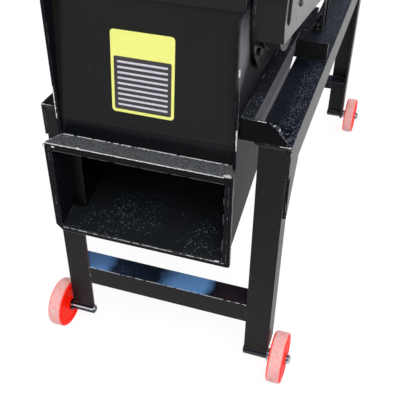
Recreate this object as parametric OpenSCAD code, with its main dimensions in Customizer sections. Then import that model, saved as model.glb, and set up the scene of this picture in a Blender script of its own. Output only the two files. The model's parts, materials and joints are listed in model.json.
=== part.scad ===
// Electric fodder chopper on a wheeled angle-iron stand.
// Origin: on the floor, at the middle of the overall length and width.
// The outlet faces -Y and the feed trough points along +Y.

/* [Stand] */
// Length of the stand over the legs
frame_l = 842; // [780:2:920]
// Width of the stand over the rails
frame_w = 362; // [356:2:380]
// Height of the top of the rails above the floor
rail_top = 450; // [430:2:480]
// Flange of the rail angle
rail_s = 50; // [46:1:52]
// Flange of the leg and crossbar angle
leg_s = 40; // [34:1:44]
// Thickness of the angle iron
iron_t = 4; // [3:0.5:4.5]
// Height of the top of the lower crossbars
crossbar_top = 146.5; // [120:0.5:200]
// Flange of the lower crossbars
bar_s = 37; // [32:0.5:38]
// Height of the gusset below the front end of the right rail
gusset_h = 76; // [50:2:100]
// Length of the gusset along the rail
gusset_l = 52; // [40:2:70]

/* [Wheels] */
// Wheel radius
wheel_r = 42.5; // [38:0.5:46]
// Wheel width
wheel_w = 25; // [22:1:27]
// Radius of the wheel's rounded edges
wheel_edge = 5; // [3:0.5:9]
// Distance of a wheel's middle from the side of the stand
wheel_out = 15; // [15:1:21]
// Radius of the axle bolts
axle_r = 5; // [4:0.25:6]
// Outer radius of the tubes below the legs
tube_r = 8; // [7:0.25:9]

/* [Cross pieces] */
// Flange of the front brackets, the middle beam and the deck beam
beam_s = 32; // [26:1:32]
// Thickness of the same angle
beam_t = 3; // [2:0.5:4]
// Cut corner at the ends of the front brackets
clip = 24; // [10:1:26]
// Distance of the middle beam from the front of the stand
mid_y = 270; // [268:1:275]
// Length of the deck beam's taper in front of the middle beam
deck_taper = 45; // [30:1:60]

/* [Housing] */
// Distance of the housing's left side from the left side of the stand
left_in = 27; // [26:1:29]
// Distance of the housing's right side from the right side of the stand
right_in = 71; // [70:1:73]
// Thickness of the side plates
side_t = 5; // [4:0.5:6]
// Thickness of the other sheets
sheet_t = 3; // [2:0.5:4]
// How far the side plates stand in front of the legs
house_front = 8; // [6:0.5:12]
// Lean of the front plate in degrees
lean = 5.5; // [3:0.5:6]
// Depth of the front plate's bottom edge below the top of the rails
front_drop = 44; // [40:1:46]
// Height above the rails at which the front plate becomes upright
bend_h = 140; // [130:2:150]
// Height of the front plate's top edge above the rails
plate_h = 190; // [180:1:194]

/* [Outlet chute] */
// How far the outlet stands in front of the legs
mouth_y = 41; // [34:1:50]
// Depth of the rim's lower edge below the top of the rails
rim_drop = 193; // [186:1:200]
// Depth of the rim's upper edge below the top of the rails
rim_top_drop = 36; // [30:1:38]
// Width of the flat bar of the rim
rim_w = 6; // [4:0.5:8]
// Depth of the flat bar of the rim
rim_t = 5; // [3:0.5:8]
// Slope of the chute's floor in degrees
slope = 18; // [14:1:20]
// Length of the sloping floor behind the front of the legs
floor_l = 150; // [140:2:160]

/* [Cutter] */
// Distance of the cutter shaft from the front of the stand
cut_y = 118; // [116:1:120]
// Height of the cutter shaft above the rails
cut_h = 156; // [154:1:158]
// Radius of the blades' edges
cut_r = 88; // [84:0.5:88]
// Radius of the cutter shaft
shaft_r = 15; // [13:0.5:16]
// Number of blades
blade_n = 4; // [3:1:5]
// Thickness of a blade
blade_t = 6; // [4:0.5:7]
// Width of a blade
blade_w = 42; // [38:1:44]
// Gap between the blades and the bed knife
knife_gap = 1; // [0.6:0.1:1.6]
// Thickness of the bed knife
knife_t = 10; // [8:1:12]
// Radius of the hood's inside
hood_r = 114; // [113:0.5:116]
// Thickness of the hood's sheet
hood_t = 3; // [2:0.5:4]

/* [Feed] */
// Depth of the lower roller's shaft below the cutter shaft
feed_drop = 24; // [22:0.5:26]
// Radius of the rollers over their ribs
roller_r = 24; // [20:0.5:24]
// Number of ribs on a roller
rib_n = 10; // [8:1:12]
// Lift of the upper roller
lift = 10; // [6:0.5:10]
// Height of the spring bridge above the cutter shaft
ear_h = 129; // [127:1:134]
// Length of the pressure springs
spring_l = 55; // [50:1:60]
// Wire radius of the pressure springs
wire_r = 1.6; // [1.2:0.1:2]
// Mean coil radius of the pressure springs
coil_r = 10; // [9:0.5:12]
// Turns of the pressure springs
coil_n = 7; // [5:1:9]

/* [Gears] */
// Module of the drive gears
gear_m = 4; // [4]
// Teeth of the cutter pinion
pinion_n = 12; // [12]
// Teeth of the large roller gear
roller_n = 61; // [61]
// Module of the deep-toothed roller gears
deep_m = 5; // [4.8:0.1:5]
// Teeth of the deep-toothed roller gears
deep_n = 11; // [11]
// Backlash at the pitch circle
backlash = 0.4; // [0.3:0.05:0.8]
// Width of the gears
gear_w = 9; // [7:0.5:9]

/* [Belt drive] */
// Outer radius of the cutter pulley
pulley_r = 72; // [68:1:74]
// Outer radius of the motor pulley
small_r = 32; // [30:1:36]
// Width of both pulleys
pulley_w = 24; // [22:1:26]
// Top width of the belt
belt_w = 17; // [15:0.5:17]
// Height of the belt's section
belt_h = 11; // [9:0.5:11]
// Radius of the belt guard round the cutter pulley
guard_r = 98.5; // [97:0.5:100]

/* [Motor] */
// Distance of the motor shaft behind the middle beam
motor_back = 145; // [142:1:160]
// Height of the motor shaft above the motor plate
motor_h = 80; // [78:1:82]
// Radius of the motor over its fins
motor_r = 68; // [62:1:70]
// Distance of the motor's body from its pulley
motor_out = 46; // [40:1:50]
// Length of the fan cover
fan_l = 46; // [42:1:50]
// Distance of the fan cover from the gear cover
fan_gap = 5; // [3:1:8]
// Number of fins
fin_n = 28; // [20:2:36]

/* [Trough] */
// Height of the trough's side walls
trough_h = 102; // [80:2:120]
// Distance of the trough's rear end from the front of the stand
trough_end = 1005; // [960:5:1040]

/* [Hidden] */
$fn = 64;

black = [0.09, 0.09, 0.1];
zinc = [0.75, 0.78, 0.8];
red = [0.86, 0.12, 0.08];
steel = [0.6, 0.61, 0.62];
run = 0.05;
gap = 0.3;

front = (mouth_y - trough_end) / 2;
rear = front + frame_l;
half_w = frame_w / 2;
leg_x = half_w - iron_t;
leg_top = rail_top - iron_t;
leg_bottom = wheel_r + tube_r - 0.5;
axle_y = iron_t / 2;
wheel_x = half_w + wheel_out;

left_x = left_in - half_w;
right_x = half_w - right_in;
house_w = right_x - left_x;
house_x = (left_x + right_x) / 2;
in_left = left_x + side_t;
in_right = right_x - side_t;
duct_left = -(half_w - rail_s) + 2;
deck_w = half_w - rail_s - beam_t - right_x;
deck_l = mid_y + beam_s - 2;

front_z = rail_top - front_drop;
bend_z = rail_top + bend_h;
plate_top = rail_top + plate_h;
rim_z = rail_top - rim_drop;
rim_top = rail_top - rim_top_drop;
cut_z = rail_top + cut_h;
bend_y = -house_front + 2 + (bend_z - front_z) * tan(lean);
floor_z0 = rim_z + 11;
function floor_z(y) = floor_z0 + (y + mouth_y - 3) * tan(slope);

// Underside of the sloping lid behind the rim
lid_y0 = -mouth_y + rim_t;
lid_y1 = -house_front + 2;
function lid_z(y) = front_z + 4 - 3 * (y - lid_y0) / (lid_y1 - lid_y0);

// The lower roller's shaft lies at the gears' centre distance from the cutter shaft
drive_d = gear_m * (pinion_n + roller_n) / 2;
feed_z = cut_z - feed_drop;
feed_y = cut_y + sqrt(pow(drive_d, 2) - pow(feed_drop, 2));

knife_y = cut_y + cut_r + knife_gap;
scroll_y = cut_y + cut_r + 8;
hood_open_y = bend_y - gap;
hood_front_y = hood_open_y - hood_t;
hood_low = plate_top - 22;
flange_top = plate_top + 6;
flange_h = flange_top - cut_z;
bar_z = cut_z + (hood_r - gap) * sin(42);
pin_r = 4;
hinge_r = pin_r + 3;
hinge_y = feed_y - 40;
hinge_z = bar_z + hinge_r + 5;
lug_in = 30;
lug_l = 32;

ear_y0 = feed_y - 24;
ear_y1 = feed_y + 24;
ear_top = cut_z + ear_h;
rear_y = mid_y + 62;
shoulder_z = ear_top - 45;
block_w = 24;
roller_d = deep_m * deep_n;
upper_z = feed_z + roller_d;
block_h = 40;
yoke_z = ear_top - spring_l - 8;

mesh_x = left_x - 8 - gear_w;
drive_x = mesh_x - 3 - gear_w;
cover_x = drive_x - 6;
bearing_c = 28;
bearing_room = bearing_c * sqrt(2) + 12.4;

pulley_x = right_x + 8;
motor_plate_t = 6;
motor_y = mid_y + motor_back;
motor_z = rail_top - iron_t + motor_plate_t + motor_h;
motor_x1 = pulley_x - motor_out;
motor_x0 = left_x + fan_gap + fan_l;
motor_l = motor_x1 - motor_x0;
motor_shaft_r = 12;
guard_x = pulley_x + pulley_w + 10;
box_x = (motor_x0 + motor_x1) / 2 - 42;
box_y = motor_y + motor_r + 2;

trough_z = cut_z;

// Drawing helpers: a YZ outline run along X, an XZ outline run along Y, and a revolve about X
module along_x(x0, x1) {
    translate([x0, 0, 0])
        rotate([90, 0, 90])
            linear_extrude(x1 - x0)
                translate([front, 0])
                    children();
}

module along_y(y0, y1) {
    translate([0, front + y1, 0])
        rotate([90, 0, 0])
            linear_extrude(y1 - y0)
                children();
}

module spindle(y, z) {
    translate([0, y, z])
        rotate([90, 0, 90])
            children();
}

module about_x(y, z) {
    spindle(front + y, z)
        children();
}

// Frame of one corner of the stand: X outwards, Y inwards from the leg's face
module at_corner(sx, sy) {
    translate([0, sy > 0 ? rear : front, 0])
        mirror([sx < 0 ? 1 : 0, 0, 0])
            mirror([0, sy > 0 ? 1 : 0, 0])
                children();
}

module rod_x(x0, x1, y, z, r) {
    about_x(y, z)
        translate([0, 0, x0])
            cylinder(h = x1 - x0, r = r);
}

module rod_z(x, y, z0, z1, r) {
    translate([x, front + y, z0])
        cylinder(h = z1 - z0, r = r);
}

function arc(c, r, a0, a1, n) = [for (i = [0:n])
    let (a = a0 + (a1 - a0) * i / n)
    c + r * [cos(a), sin(a)]];

function turn(p, a) = [p[0] * cos(a) - p[1] * sin(a), p[0] * sin(a) + p[1] * cos(a)];

// Angle-iron section with its corner at the origin, a root fillet and rounded toes
module angle_section(w, h, t) {
    f = t * 0.9;
    toe = t * 0.5;
    polygon(concat([[0, 0], [w, 0]],
        arc([w - toe, t - toe], toe, 0, 90, 4),
        [for (i = [0:5]) [t + f - f * sin(i * 18), t + f - f * cos(i * 18)]],
        arc([t - toe, h - toe], toe, 0, 90, 4),
        [[0, h]]));
}

module hex_bolt_z(x, y, z, r, head_r, head_h, under) {
    translate([x, front + y, z])
        cylinder(h = head_h, r = head_r, $fn = 6);
    rod_z(x, y, z - under, z, r);
}

// Stand

module leg(sx, sy) {
    root = iron_t * 0.9;
    at_corner(sx, sy)
        difference() {
            translate([leg_x, 0, leg_bottom - 2])
                rotate([0, 0, 90])
                    linear_extrude(leg_top - leg_bottom + 2)
                        angle_section(leg_s, leg_s, iron_t);
            spindle(axle_y, wheel_r)
                cylinder(h = half_w, r = tube_r);
            translate([0, iron_t + 8, 0])
                cube([half_w, leg_s, leg_bottom]);
            translate([leg_x - root, -1, leg_top - root])
                cube([2 * root, leg_s + 2, 2 * root]);
        }
}

module leg_front_left() color(black) leg(-1, -1);
module leg_front_right() color(black) leg(1, -1);
module leg_rear_left() color(black) leg(-1, 1);
module leg_rear_right() color(black) leg(1, 1);

module rail() {
    translate([half_w, rear, rail_top])
        rotate([90, 0, 0])
            linear_extrude(frame_l)
                rotate(180)
                    angle_section(rail_s, rail_s, iron_t);
}

module rail_left() color(black) mirror([1, 0, 0]) rail();

module rail_right() {
    gusset_z = rail_top - rail_s;
    color(black) {
        rail();
        along_x(leg_x, half_w)
            polygon([[12, gusset_z], [12, gusset_z - gusset_h], [15, gusset_z - gusset_h],
                [12 + gusset_l, gusset_z - 8], [12 + gusset_l, gusset_z]]);
    }
}

module crossbar() {
    inner = leg_x - leg_s;
    root = 2 * iron_t + 0.2;
    difference() {
        translate([-leg_x + iron_t, 0, crossbar_top])
            rotate([0, 90, 0])
                linear_extrude(2 * (leg_x - iron_t))
                    angle_section(bar_s, bar_s, iron_t);
        for (side = [-1, 1]) {
            translate([side * (inner + leg_s / 2 + 1), 0, crossbar_top - leg_s / 2])
                cube([leg_s + 2, 2 * iron_t, leg_s + 2], center = true);
            translate([side * leg_x, 0, crossbar_top - leg_s / 2])
                cube([2 * root, 2 * root, leg_s + 2], center = true);
        }
    }
}

module front_crossbar() color(black) translate([0, front, 0]) crossbar();
module rear_crossbar() color(black) translate([0, rear, 0]) mirror([0, 1, 0]) crossbar();

module rear_top_beam() {
    inner = half_w - rail_s;
    color(black) {
        translate([-inner, rear - rail_s, rail_top - iron_t])
            cube([2 * inner, rail_s, iron_t]);
        translate([-(leg_x - leg_s), rear - iron_t, rail_top - rail_s])
            cube([2 * (leg_x - leg_s), iron_t, rail_s - iron_t]);
    }
}

module middle_beam() {
    bolt_x = half_w - rail_s / 2;
    color(black)
        difference() {
            translate([left_x + 2, front + mid_y, rail_top])
                rotate([90, 0, 90])
                    linear_extrude(half_w - 2 - left_x - 2)
                        angle_section(beam_s - 2, beam_s - beam_t, beam_t);
            rod_z(bolt_x, mid_y + beam_s / 2, rail_top - 1, rail_top + beam_t + 1, 4.2);
        }
}

module front_brackets() {
    bolt_x = half_w - rail_s / 2 - 4;
    top = rail_top + beam_s;
    outer = half_w - 7;
    color(black)
        difference() {
            union() {
                along_y(0, beam_t)
                    polygon([[right_x, rail_top], [outer, rail_top], [outer, top - clip],
                        [outer - clip, top], [right_x, top]]);
                along_y(0, beam_t)
                    polygon([[left_x, rail_top], [-outer, rail_top], [-outer, rail_top + 6],
                        [left_x - 1, top - 8], [left_x, top - 8]]);
                translate([half_w - rail_s, front, rail_top])
                    cube([outer - half_w + rail_s, beam_s + 8, beam_t]);
                translate([-outer, front, rail_top])
                    cube([outer + left_x, beam_s + 8, beam_t]);
            }
            rod_z(bolt_x, beam_s - 10, rail_top - 1, rail_top + beam_t + 1, 4.2);
        }
}

module deck_beam() {
    top = rail_top + beam_s;
    low = rail_top - 14;
    x1 = right_x + deck_w;
    color(black) {
        translate([right_x, front + beam_t, top - beam_t])
            cube([deck_w, deck_l - beam_t, beam_t]);
        along_x(x1 - beam_t, x1)
            polygon([[beam_t, top - beam_t], [beam_t, rail_top], [45, rail_top], [52, low],
                [mid_y - deck_taper, low], [mid_y, rail_top + 12], [mid_y, top - beam_t]]);
    }
}

module frame_bolts() {
    front_x = half_w - rail_s / 2 - 4;
    mid_x = half_w - rail_s / 2;
    seat = rail_top + beam_t;
    color(zinc) {
        rod_z(front_x, beam_s - 10, seat, seat + 1.6, 11);
        hex_bolt_z(front_x, beam_s - 10, seat + 1.6, 4, 9, 8, beam_t + 1.6);
        hex_bolt_z(mid_x, mid_y + beam_s / 2, seat, 4, 7.5, 5.5, beam_t);
    }
}

// Tube below a leg with the wheel's spindle, spacer and end cap
module axle_bolt(sx, sy) {
    x0 = leg_x - leg_s;
    x1 = wheel_x - wheel_w / 2 - gap;
    x2 = wheel_x + wheel_w / 2 + gap;
    at_corner(sx, sy)
        spindle(axle_y, wheel_r)
            rotate_extrude()
                polygon([[0, x0 - 1], [tube_r - 2, x0 - 1], [tube_r, x0 + 1], [tube_r, leg_x + 1],
                    [11, leg_x + 1], [11, leg_x + 3.5], [axle_r + 2.5, leg_x + 3.5],
                    [axle_r + 2.5, x1], [axle_r, x1], [axle_r, x2], [10, x2], [10, x2 + 1.7],
                    [8, x2 + 2.5], [8, x2 + 5], [5, x2 + 7.5], [0, x2 + 7.5]]);
}

module axle_bolts() {
    color(zinc)
        for (sx = [-1, 1], sy = [-1, 1])
            axle_bolt(sx, sy);
}

// Moulded wheel: rounded tread, dished faces and a hub with a running bore
module wheel(sx, sy) {
    h = wheel_w / 2;
    dish = 1.5;
    color(red)
        at_corner(sx, sy)
            translate([wheel_x, 0, 0])
                spindle(axle_y, wheel_r)
                    rotate_extrude($fn = 96)
                        polygon(concat([[axle_r + run, -h], [11, -h], [13, -h + dish],
                            [wheel_r - 12, -h + dish], [wheel_r - 10, -h]],
                            arc([wheel_r - wheel_edge, -h + wheel_edge], wheel_edge, -90, -4, 8),
                            arc([wheel_r - wheel_edge, h - wheel_edge], wheel_edge, 4, 90, 8),
                            [[wheel_r - 10, h], [wheel_r - 12, h - dish], [13, h - dish],
                            [11, h], [axle_r + run, h]]));
}

module wheel_front_left() wheel(-1, -1);
module wheel_front_right() wheel(1, -1);
module wheel_rear_left() wheel(-1, 1);
module wheel_rear_right() wheel(1, 1);

// Housing

function upper_outline() = concat(
    [[-house_front, cut_z - 2]],
    arc([-house_front + 12, cut_z - 2], 12, 180, 110, 5),
    [[bend_y + 0.2, hood_low - gap], [bend_y + 0.2, flange_top]],
    arc([cut_y, cut_z], hood_r - gap, 180 - asin(flange_h / hood_r) - 1, 42, 22),
    [[ear_y0, cut_z + (hood_r - gap) * sin(42)], [ear_y0, ear_top], [ear_y1, ear_top],
    [ear_y1, shoulder_z], [rear_y - 14, shoulder_z]],
    arc([rear_y - 14, shoulder_z - 14], 14, 90, 0, 5),
    [[rear_y, rail_top + beam_s - beam_t], [mid_y - 2, rail_top + beam_s - beam_t]]);

module plate_holes() {
    translate([cut_y, cut_z]) circle(r = shaft_r + 8);
    translate([feed_y, feed_z]) circle(r = 16 + run);
    translate([feed_y - block_w / 2 - gap, upper_z - block_h / 2 - gap])
        square([block_w + 2 * gap, ear_top - upper_z + block_h]);
}

module side_plate_left() {
    color(black)
        along_x(left_x, in_left)
            difference() {
                polygon(concat([[-mouth_y, floor_z(-mouth_y) - sheet_t], [-mouth_y, front_z],
                    [lid_y0, front_z], [lid_y0, lid_z(lid_y0)],
                    [-house_front, lid_z(-house_front)]], upper_outline(),
                    [[mid_y - 2, rail_top], [0, rail_top], [0, floor_z(0) - sheet_t]]));
                plate_holes();
            }
}

module side_plate_right() {
    color(black)
        along_x(in_right, right_x)
            difference() {
                polygon(concat([[-mouth_y, floor_z(-mouth_y) - sheet_t], [-mouth_y, front_z],
                    [lid_y0, front_z], [lid_y0, lid_z(lid_y0)],
                    [-house_front, lid_z(-house_front)]], upper_outline(),
                    [[mid_y - 2, rail_top + 5], [scroll_y + 6, rail_top + 5],
                    [floor_l + 3, floor_z(floor_l) - sheet_t]]));
                plate_holes();
            }
}

module front_plate() {
    y0 = -house_front + 2;
    color(black)
        difference() {
            along_x(in_left, in_right)
                polygon([[y0, front_z], [bend_y, bend_z], [bend_y, plate_top],
                    [bend_y + sheet_t, plate_top], [bend_y + sheet_t, bend_z], [y0 + sheet_t, front_z]]);
            translate([-half_w, front, front_z - 1])
                cube([rail_s + 1, 6, rail_top - front_z + 1]);
        }
}

module chute_floor() {
    low_y = floor_l;
    wall_z = rail_top + 5;
    color(black) {
        along_x(in_left, in_right)
            polygon([[-mouth_y, floor_z(-mouth_y) - sheet_t], [-sheet_t, floor_z(-sheet_t) - sheet_t],
                [-sheet_t, floor_z(-sheet_t)], [-mouth_y, floor_z(-mouth_y)]]);
        along_x(duct_left, in_right)
            polygon([[-sheet_t, floor_z(-sheet_t) - sheet_t], [low_y, floor_z(low_y) - sheet_t],
                [scroll_y + sheet_t, wall_z - 6], [scroll_y + sheet_t, wall_z], [scroll_y, wall_z],
                [scroll_y, wall_z - 5], [low_y - 2, floor_z(low_y - 2)], [-sheet_t, floor_z(-sheet_t)]]);
        along_x(in_left, in_right)
            polygon([[scroll_y, wall_z], [scroll_y + sheet_t, wall_z],
                [scroll_y + sheet_t, cut_z - knife_t], [scroll_y, cut_z - knife_t]]);
    }
}

module chute_left_wall() {
    color(black) {
        along_x(in_left, duct_left + sheet_t)
            polygon([[-sheet_t, floor_z(-sheet_t)], [0, floor_z(0)], [0, front_z], [-sheet_t, front_z]]);
        along_x(duct_left, duct_left + sheet_t)
            polygon([[0, floor_z(0)], [floor_l - 2, floor_z(floor_l - 2)],
                [scroll_y, rail_top], [2, rail_top], [0, front_z]]);
    }
}

module chute_mouth() {
    x0 = left_x - rim_w;
    x1 = right_x + rim_w;
    color(black) {
        along_y(-mouth_y, lid_y0)
            difference() {
                polygon([[x0, rim_z + 10], [x0 + 10, rim_z], [x1 - 2, rim_z], [x1, rim_z + 2],
                    [x1, rim_top - 2], [x1 - 2, rim_top], [x0 + 2, rim_top], [x0, rim_top - 2]]);
                translate([left_x, floor_z(-mouth_y) - sheet_t])
                    square([right_x - left_x, front_z - floor_z(-mouth_y) + sheet_t]);
            }
        along_x(in_left, in_right)
            polygon([[-mouth_y, front_z - sheet_t], [lid_y1 + sheet_t, front_z - sheet_t],
                [lid_y1 + sheet_t, front_z], [-mouth_y, front_z]]);
        intersection() {
            along_x(x0, x1)
                polygon([[lid_y0, lid_z(lid_y0)], [lid_y1, lid_z(lid_y1)], [lid_y1, rim_top - 3.5],
                    [lid_y0, rim_top - 0.6]]);
            translate([0, 0, front_z])
                linear_extrude(rim_top - front_z)
                    translate([0, front])
                        polygon([[x0, lid_y0], [x1, lid_y0], [in_right, -house_front], [in_right, lid_y1],
                            [in_left, lid_y1], [in_left, -house_front]]);
        }
    }
}

module knife_beam() {
    color(black)
        along_x(in_left, in_right)
            polygon([[scroll_y + sheet_t, cut_z - knife_t - 30],
                [scroll_y + sheet_t + 5, cut_z - knife_t - 30],
                [scroll_y + sheet_t + 5, cut_z - knife_t - 7], [feed_y - roller_r - 3, cut_z - knife_t - 6],
                [feed_y - roller_r - 3, cut_z - knife_t], [scroll_y + sheet_t, cut_z - knife_t]]);
}

function knife_bolt_x(i) = in_left + 32 + i * (in_right - in_left - 64) / 3;

module bed_knife() {
    color(steel)
        difference() {
            along_x(in_left + 1, in_right - 1)
                polygon([[knife_y, cut_z], [knife_y + 2, cut_z - knife_t],
                    [feed_y - roller_r - 2, cut_z - knife_t], [feed_y - roller_r - 2, cut_z - 1]]);
            for (i = [0:3])
                rod_z(knife_bolt_x(i), knife_y + 16, cut_z - knife_t - 1, cut_z + 1, 4.2);
        }
}

module bearing_bolts(x0, x1) {
    for (sy = [-1, 1], sz = [-1, 1])
        about_x(cut_y + sy * bearing_c, cut_z + sz * bearing_c)
            translate([0, 0, x0])
                cylinder(h = x1 - x0, r = 6.5, $fn = 6);
}

module machine_bolts() {
    color(zinc) {
        bearing_bolts(left_x - 15, left_x - 10);
        bearing_bolts(right_x + 10, right_x + 15);
        for (i = [0:3])
            rod_z(knife_bolt_x(i), knife_y + 16, cut_z - knife_t, cut_z - 1, 4);
    }
}

module top_bar() {
    color(black) {
        along_x(in_left, in_right)
            polygon([[ear_y0 - 24, bar_z - 20], [ear_y0 - 21, bar_z - 20], [ear_y0 - 21, bar_z - 3],
                [ear_y0, bar_z - 3], [ear_y0, bar_z], [ear_y0 - 24, bar_z]]);
        for (x = [in_left + lug_in, in_right - lug_in - lug_l])
            along_x(x, x + lug_l)
                difference() {
                    union() {
                        translate([hinge_y, hinge_z]) circle(r = hinge_r);
                        polygon([[hinge_y, bar_z], [hinge_y + hinge_r, bar_z],
                            [hinge_y + hinge_r, hinge_z], [hinge_y, hinge_z]]);
                    }
                    translate([hinge_y, hinge_z]) circle(r = pin_r + run);
                }
    }
}

module hinge_pin() {
    color(steel)
        about_x(hinge_y, hinge_z)
            translate([0, 0, in_left + 2])
                union() {
                    cylinder(h = in_right - in_left - 4, r = pin_r);
                    cylinder(h = 3, r = pin_r + 2);
                }
}

// Hinged hood: a rolled sheet with turned-down side lips, a front flange, knuckles and a handle
module hood() {
    start = 180 - asin(flange_h / hood_r);
    handle_x = 46;
    x0 = left_x + 1;
    x1 = right_x - 1;
    color(black) {
        along_x(x0, x1)
            polygon(concat([[hood_open_y, hood_low], [hood_open_y, flange_top]],
                arc([cut_y, cut_z], hood_r, start, 43, 24),
                arc([cut_y, cut_z], hood_r + hood_t, 43, start, 24),
                [[hood_front_y, flange_top], [hood_front_y, hood_low]]));
        for (x = [in_left + gap, in_right - gap - 2.5])
            along_x(x, x + 2.5)
                polygon(concat(arc([cut_y, cut_z], hood_r - 13, start - 8, 43, 24),
                    arc([cut_y, cut_z], hood_r + 1, 43, start - 8, 24)));
        for (x = [in_left + lug_in + lug_l + 1, in_right - lug_in - 2 * lug_l])
            along_x(x, x + lug_l - 1)
                difference() {
                    union() {
                        translate([hinge_y, hinge_z]) circle(r = hinge_r);
                        polygon([on_hood(49, hood_t / 2), on_hood(43.5, hood_t / 2),
                            [hinge_y - 2, hinge_z + 1 - hinge_r], [hinge_y - 2, hinge_z - 1 + hinge_r]]);
                    }
                    translate([hinge_y, hinge_z]) circle(r = pin_r + run);
                }
        about_x(cut_y, cut_z)
            rotate([0, 0, 118]) {
                for (sx = [-1, 1])
                    translate([hood_r + hood_t - 0.5, 0, house_x + sx * handle_x])
                        rotate([0, 90, 0])
                            cylinder(h = 26, r = 5);
                translate([hood_r + hood_t + 25, 0, house_x - handle_x - 5])
                    cylinder(h = 2 * handle_x + 10, r = 5);
            }
    }
}

function on_hood(a, lift_by) = [cut_y, cut_z] + (hood_r + lift_by) * [cos(a), sin(a)];

// Square cast bearing housing with a domed boss
module bearing(x, dir) {
    color(black)
        about_x(cut_y, cut_z)
            translate([0, 0, x])
                mirror([0, 0, dir < 0 ? 1 : 0])
                    difference() {
                        union() {
                            linear_extrude(10)
                                polygon([for (k = [0:3], p = arc([bearing_c, bearing_c], 10, 0, 90, 5))
                                    turn(p, k * 90)]);
                            cylinder(h = 14, r = 32);
                            translate([0, 0, 14])
                                rotate_extrude()
                                    polygon([[0, 0], [32, 0], [28, 3], [21, 4], [0, 4]]);
                        }
                        translate([0, 0, -1])
                            cylinder(h = 30, r = shaft_r + run);
                    }
}

module bearing_left() bearing(left_x, -1);
module bearing_right() bearing(right_x, 1);

// Cutter

module cutter_shaft() {
    neck = shaft_r - 3;
    color(steel) {
        rod_x(left_x - 19, right_x + 20, cut_y, cut_z, shaft_r);
        rod_x(drive_x - 1, left_x - 19, cut_y, cut_z, neck);
        rod_x(right_x + 20, pulley_x + pulley_w + 6, cut_y, cut_z, neck);
    }
}

// A blade's section lies from its heel to its edge; the pads of the carrier fit under it
edge_p = [cut_r * cos(11), cut_r * sin(11)];
blade_dir = [sin(32), cos(32)];
blade_in = [-cos(32), sin(32)];
heel_p = edge_p - blade_w * blade_dir;

module blade_section() {
    polygon([edge_p, heel_p, heel_p + blade_t * blade_in, edge_p + blade_t * blade_in - 9 * blade_dir]);
}

module blade_carrier() {
    x0 = in_left + 8;
    x1 = in_right - 8;
    disc_t = 10;
    color(black)
        about_x(cut_y, cut_z)
            difference() {
                union() {
                    translate([0, 0, x0])
                        cylinder(h = x1 - x0, r = shaft_r + 9);
                    for (x = [x0, (x0 + x1 - disc_t) / 2, x1 - disc_t])
                        translate([0, 0, x])
                            linear_extrude(disc_t)
                                union() {
                                    circle(r = 44);
                                    for (k = [0:blade_n - 1])
                                        rotate(k * 360 / blade_n)
                                            polygon([heel_p + blade_t * blade_in,
                                                edge_p + blade_t * blade_in - 14 * blade_dir,
                                                [38, 30], [10, 20], [20, -30], [44, -28]]);
                                }
                }
                translate([0, 0, x0 - 1])
                    cylinder(h = x1 - x0 + 2, r = shaft_r);
            }
}

module blades() {
    color(steel)
        about_x(cut_y, cut_z)
            translate([0, 0, in_left + 6])
                linear_extrude(in_right - in_left - 12)
                    for (k = [0:blade_n - 1])
                        rotate(k * 360 / blade_n)
                            blade_section();
}

module blade_bolts() {
    x0 = in_left + 13;
    x1 = in_right - 13;
    mid = heel_p + 15 * blade_dir;
    color(zinc)
        about_x(cut_y, cut_z)
            for (k = [0:blade_n - 1], x = [x0, (x0 + x1) / 2, x1])
                rotate(k * 360 / blade_n)
                    translate([mid[0], mid[1], x])
                        rotate([0, 90, -32])
                            cylinder(h = 4.5, r = 7, $fn = 6);
}

// V-groove pulley profile, from the bore outwards
module groove_pulley(r, hub_r, bore_r, w, inner_r, web_x, web_t, hub_l) {
    g = belt_w / 2 + 0.4;
    b = g - (belt_h + 2) * tan(18);
    depth = belt_h + 2;
    rotate_extrude($fn = 96)
        polygon([[bore_r, web_x], [hub_r, web_x], [inner_r, web_x], [inner_r, 0], [r, 0],
            [r, w / 2 - g], [r - depth, w / 2 - b], [r - depth, w / 2 + b], [r, w / 2 + g], [r, w],
            [inner_r, w], [inner_r - 1, web_x + web_t], [hub_r, web_x + web_t], [hub_r, hub_l],
            [bore_r, hub_l]]);
}

module cutter_pulley() {
    color(black)
        about_x(cut_y, cut_z)
            translate([0, 0, pulley_x])
                difference() {
                    groove_pulley(pulley_r, 26, shaft_r - 3, pulley_w, pulley_r - 18,
                        pulley_w - 8, 7, pulley_w + 5);
                    for (k = [0:4])
                        rotate(k * 72)
                            translate([39.5, 0, -1])
                                cylinder(h = pulley_w + 8, r = 9);
                }
}

// Involute gear outline; a tooth stands at angle 0
function inv(a) = tan(a) * 180 / PI - a;

function flank_half(m, n, pa, r) =
    let (rb = m * n * cos(pa) / 2, a = r > rb ? acos(rb / r) : 0)
    90 / n - backlash / (m * n) * 180 / PI + inv(pa) - inv(a);

function tooth(m, n, pa, ra, rr, steps) =
    let (rb = m * n * cos(pa) / 2, r0 = max(rb, rr))
    concat([[rr, flank_half(m, n, pa, r0)]],
        [for (i = [0:steps]) let (r = r0 + (ra - r0) * i / steps) [r, flank_half(m, n, pa, r)]]);

function gear_points(m, n, pa, ra, rr, steps) =
    let (half = tooth(m, n, pa, ra, rr, steps), k = len(half))
    [for (t = [0:n - 1]) each concat(
        [for (i = [0:k - 1]) let (a = t * 360 / n - half[i][1]) half[i][0] * [cos(a), sin(a)]],
        [for (i = [k - 1:-1:0]) let (a = t * 360 / n + half[i][1]) half[i][0] * [cos(a), sin(a)]])];

module gear(m, n, w, steps) {
    linear_extrude(w)
        polygon(gear_points(m, n, 25, m * n / 2 + m, m * n / 2 - 1.25 * m, steps));
}

// Angle of the line of centres, and the phase that meshes a gear of nb teeth with one of na teeth
function heading(y0, z0, y1, z1) = atan2(z1 - z0, y1 - y0);
function mesh_phase(phase, na, nb, th) = th + 180 - (phase - th) * na / nb + 180 / nb;

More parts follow.
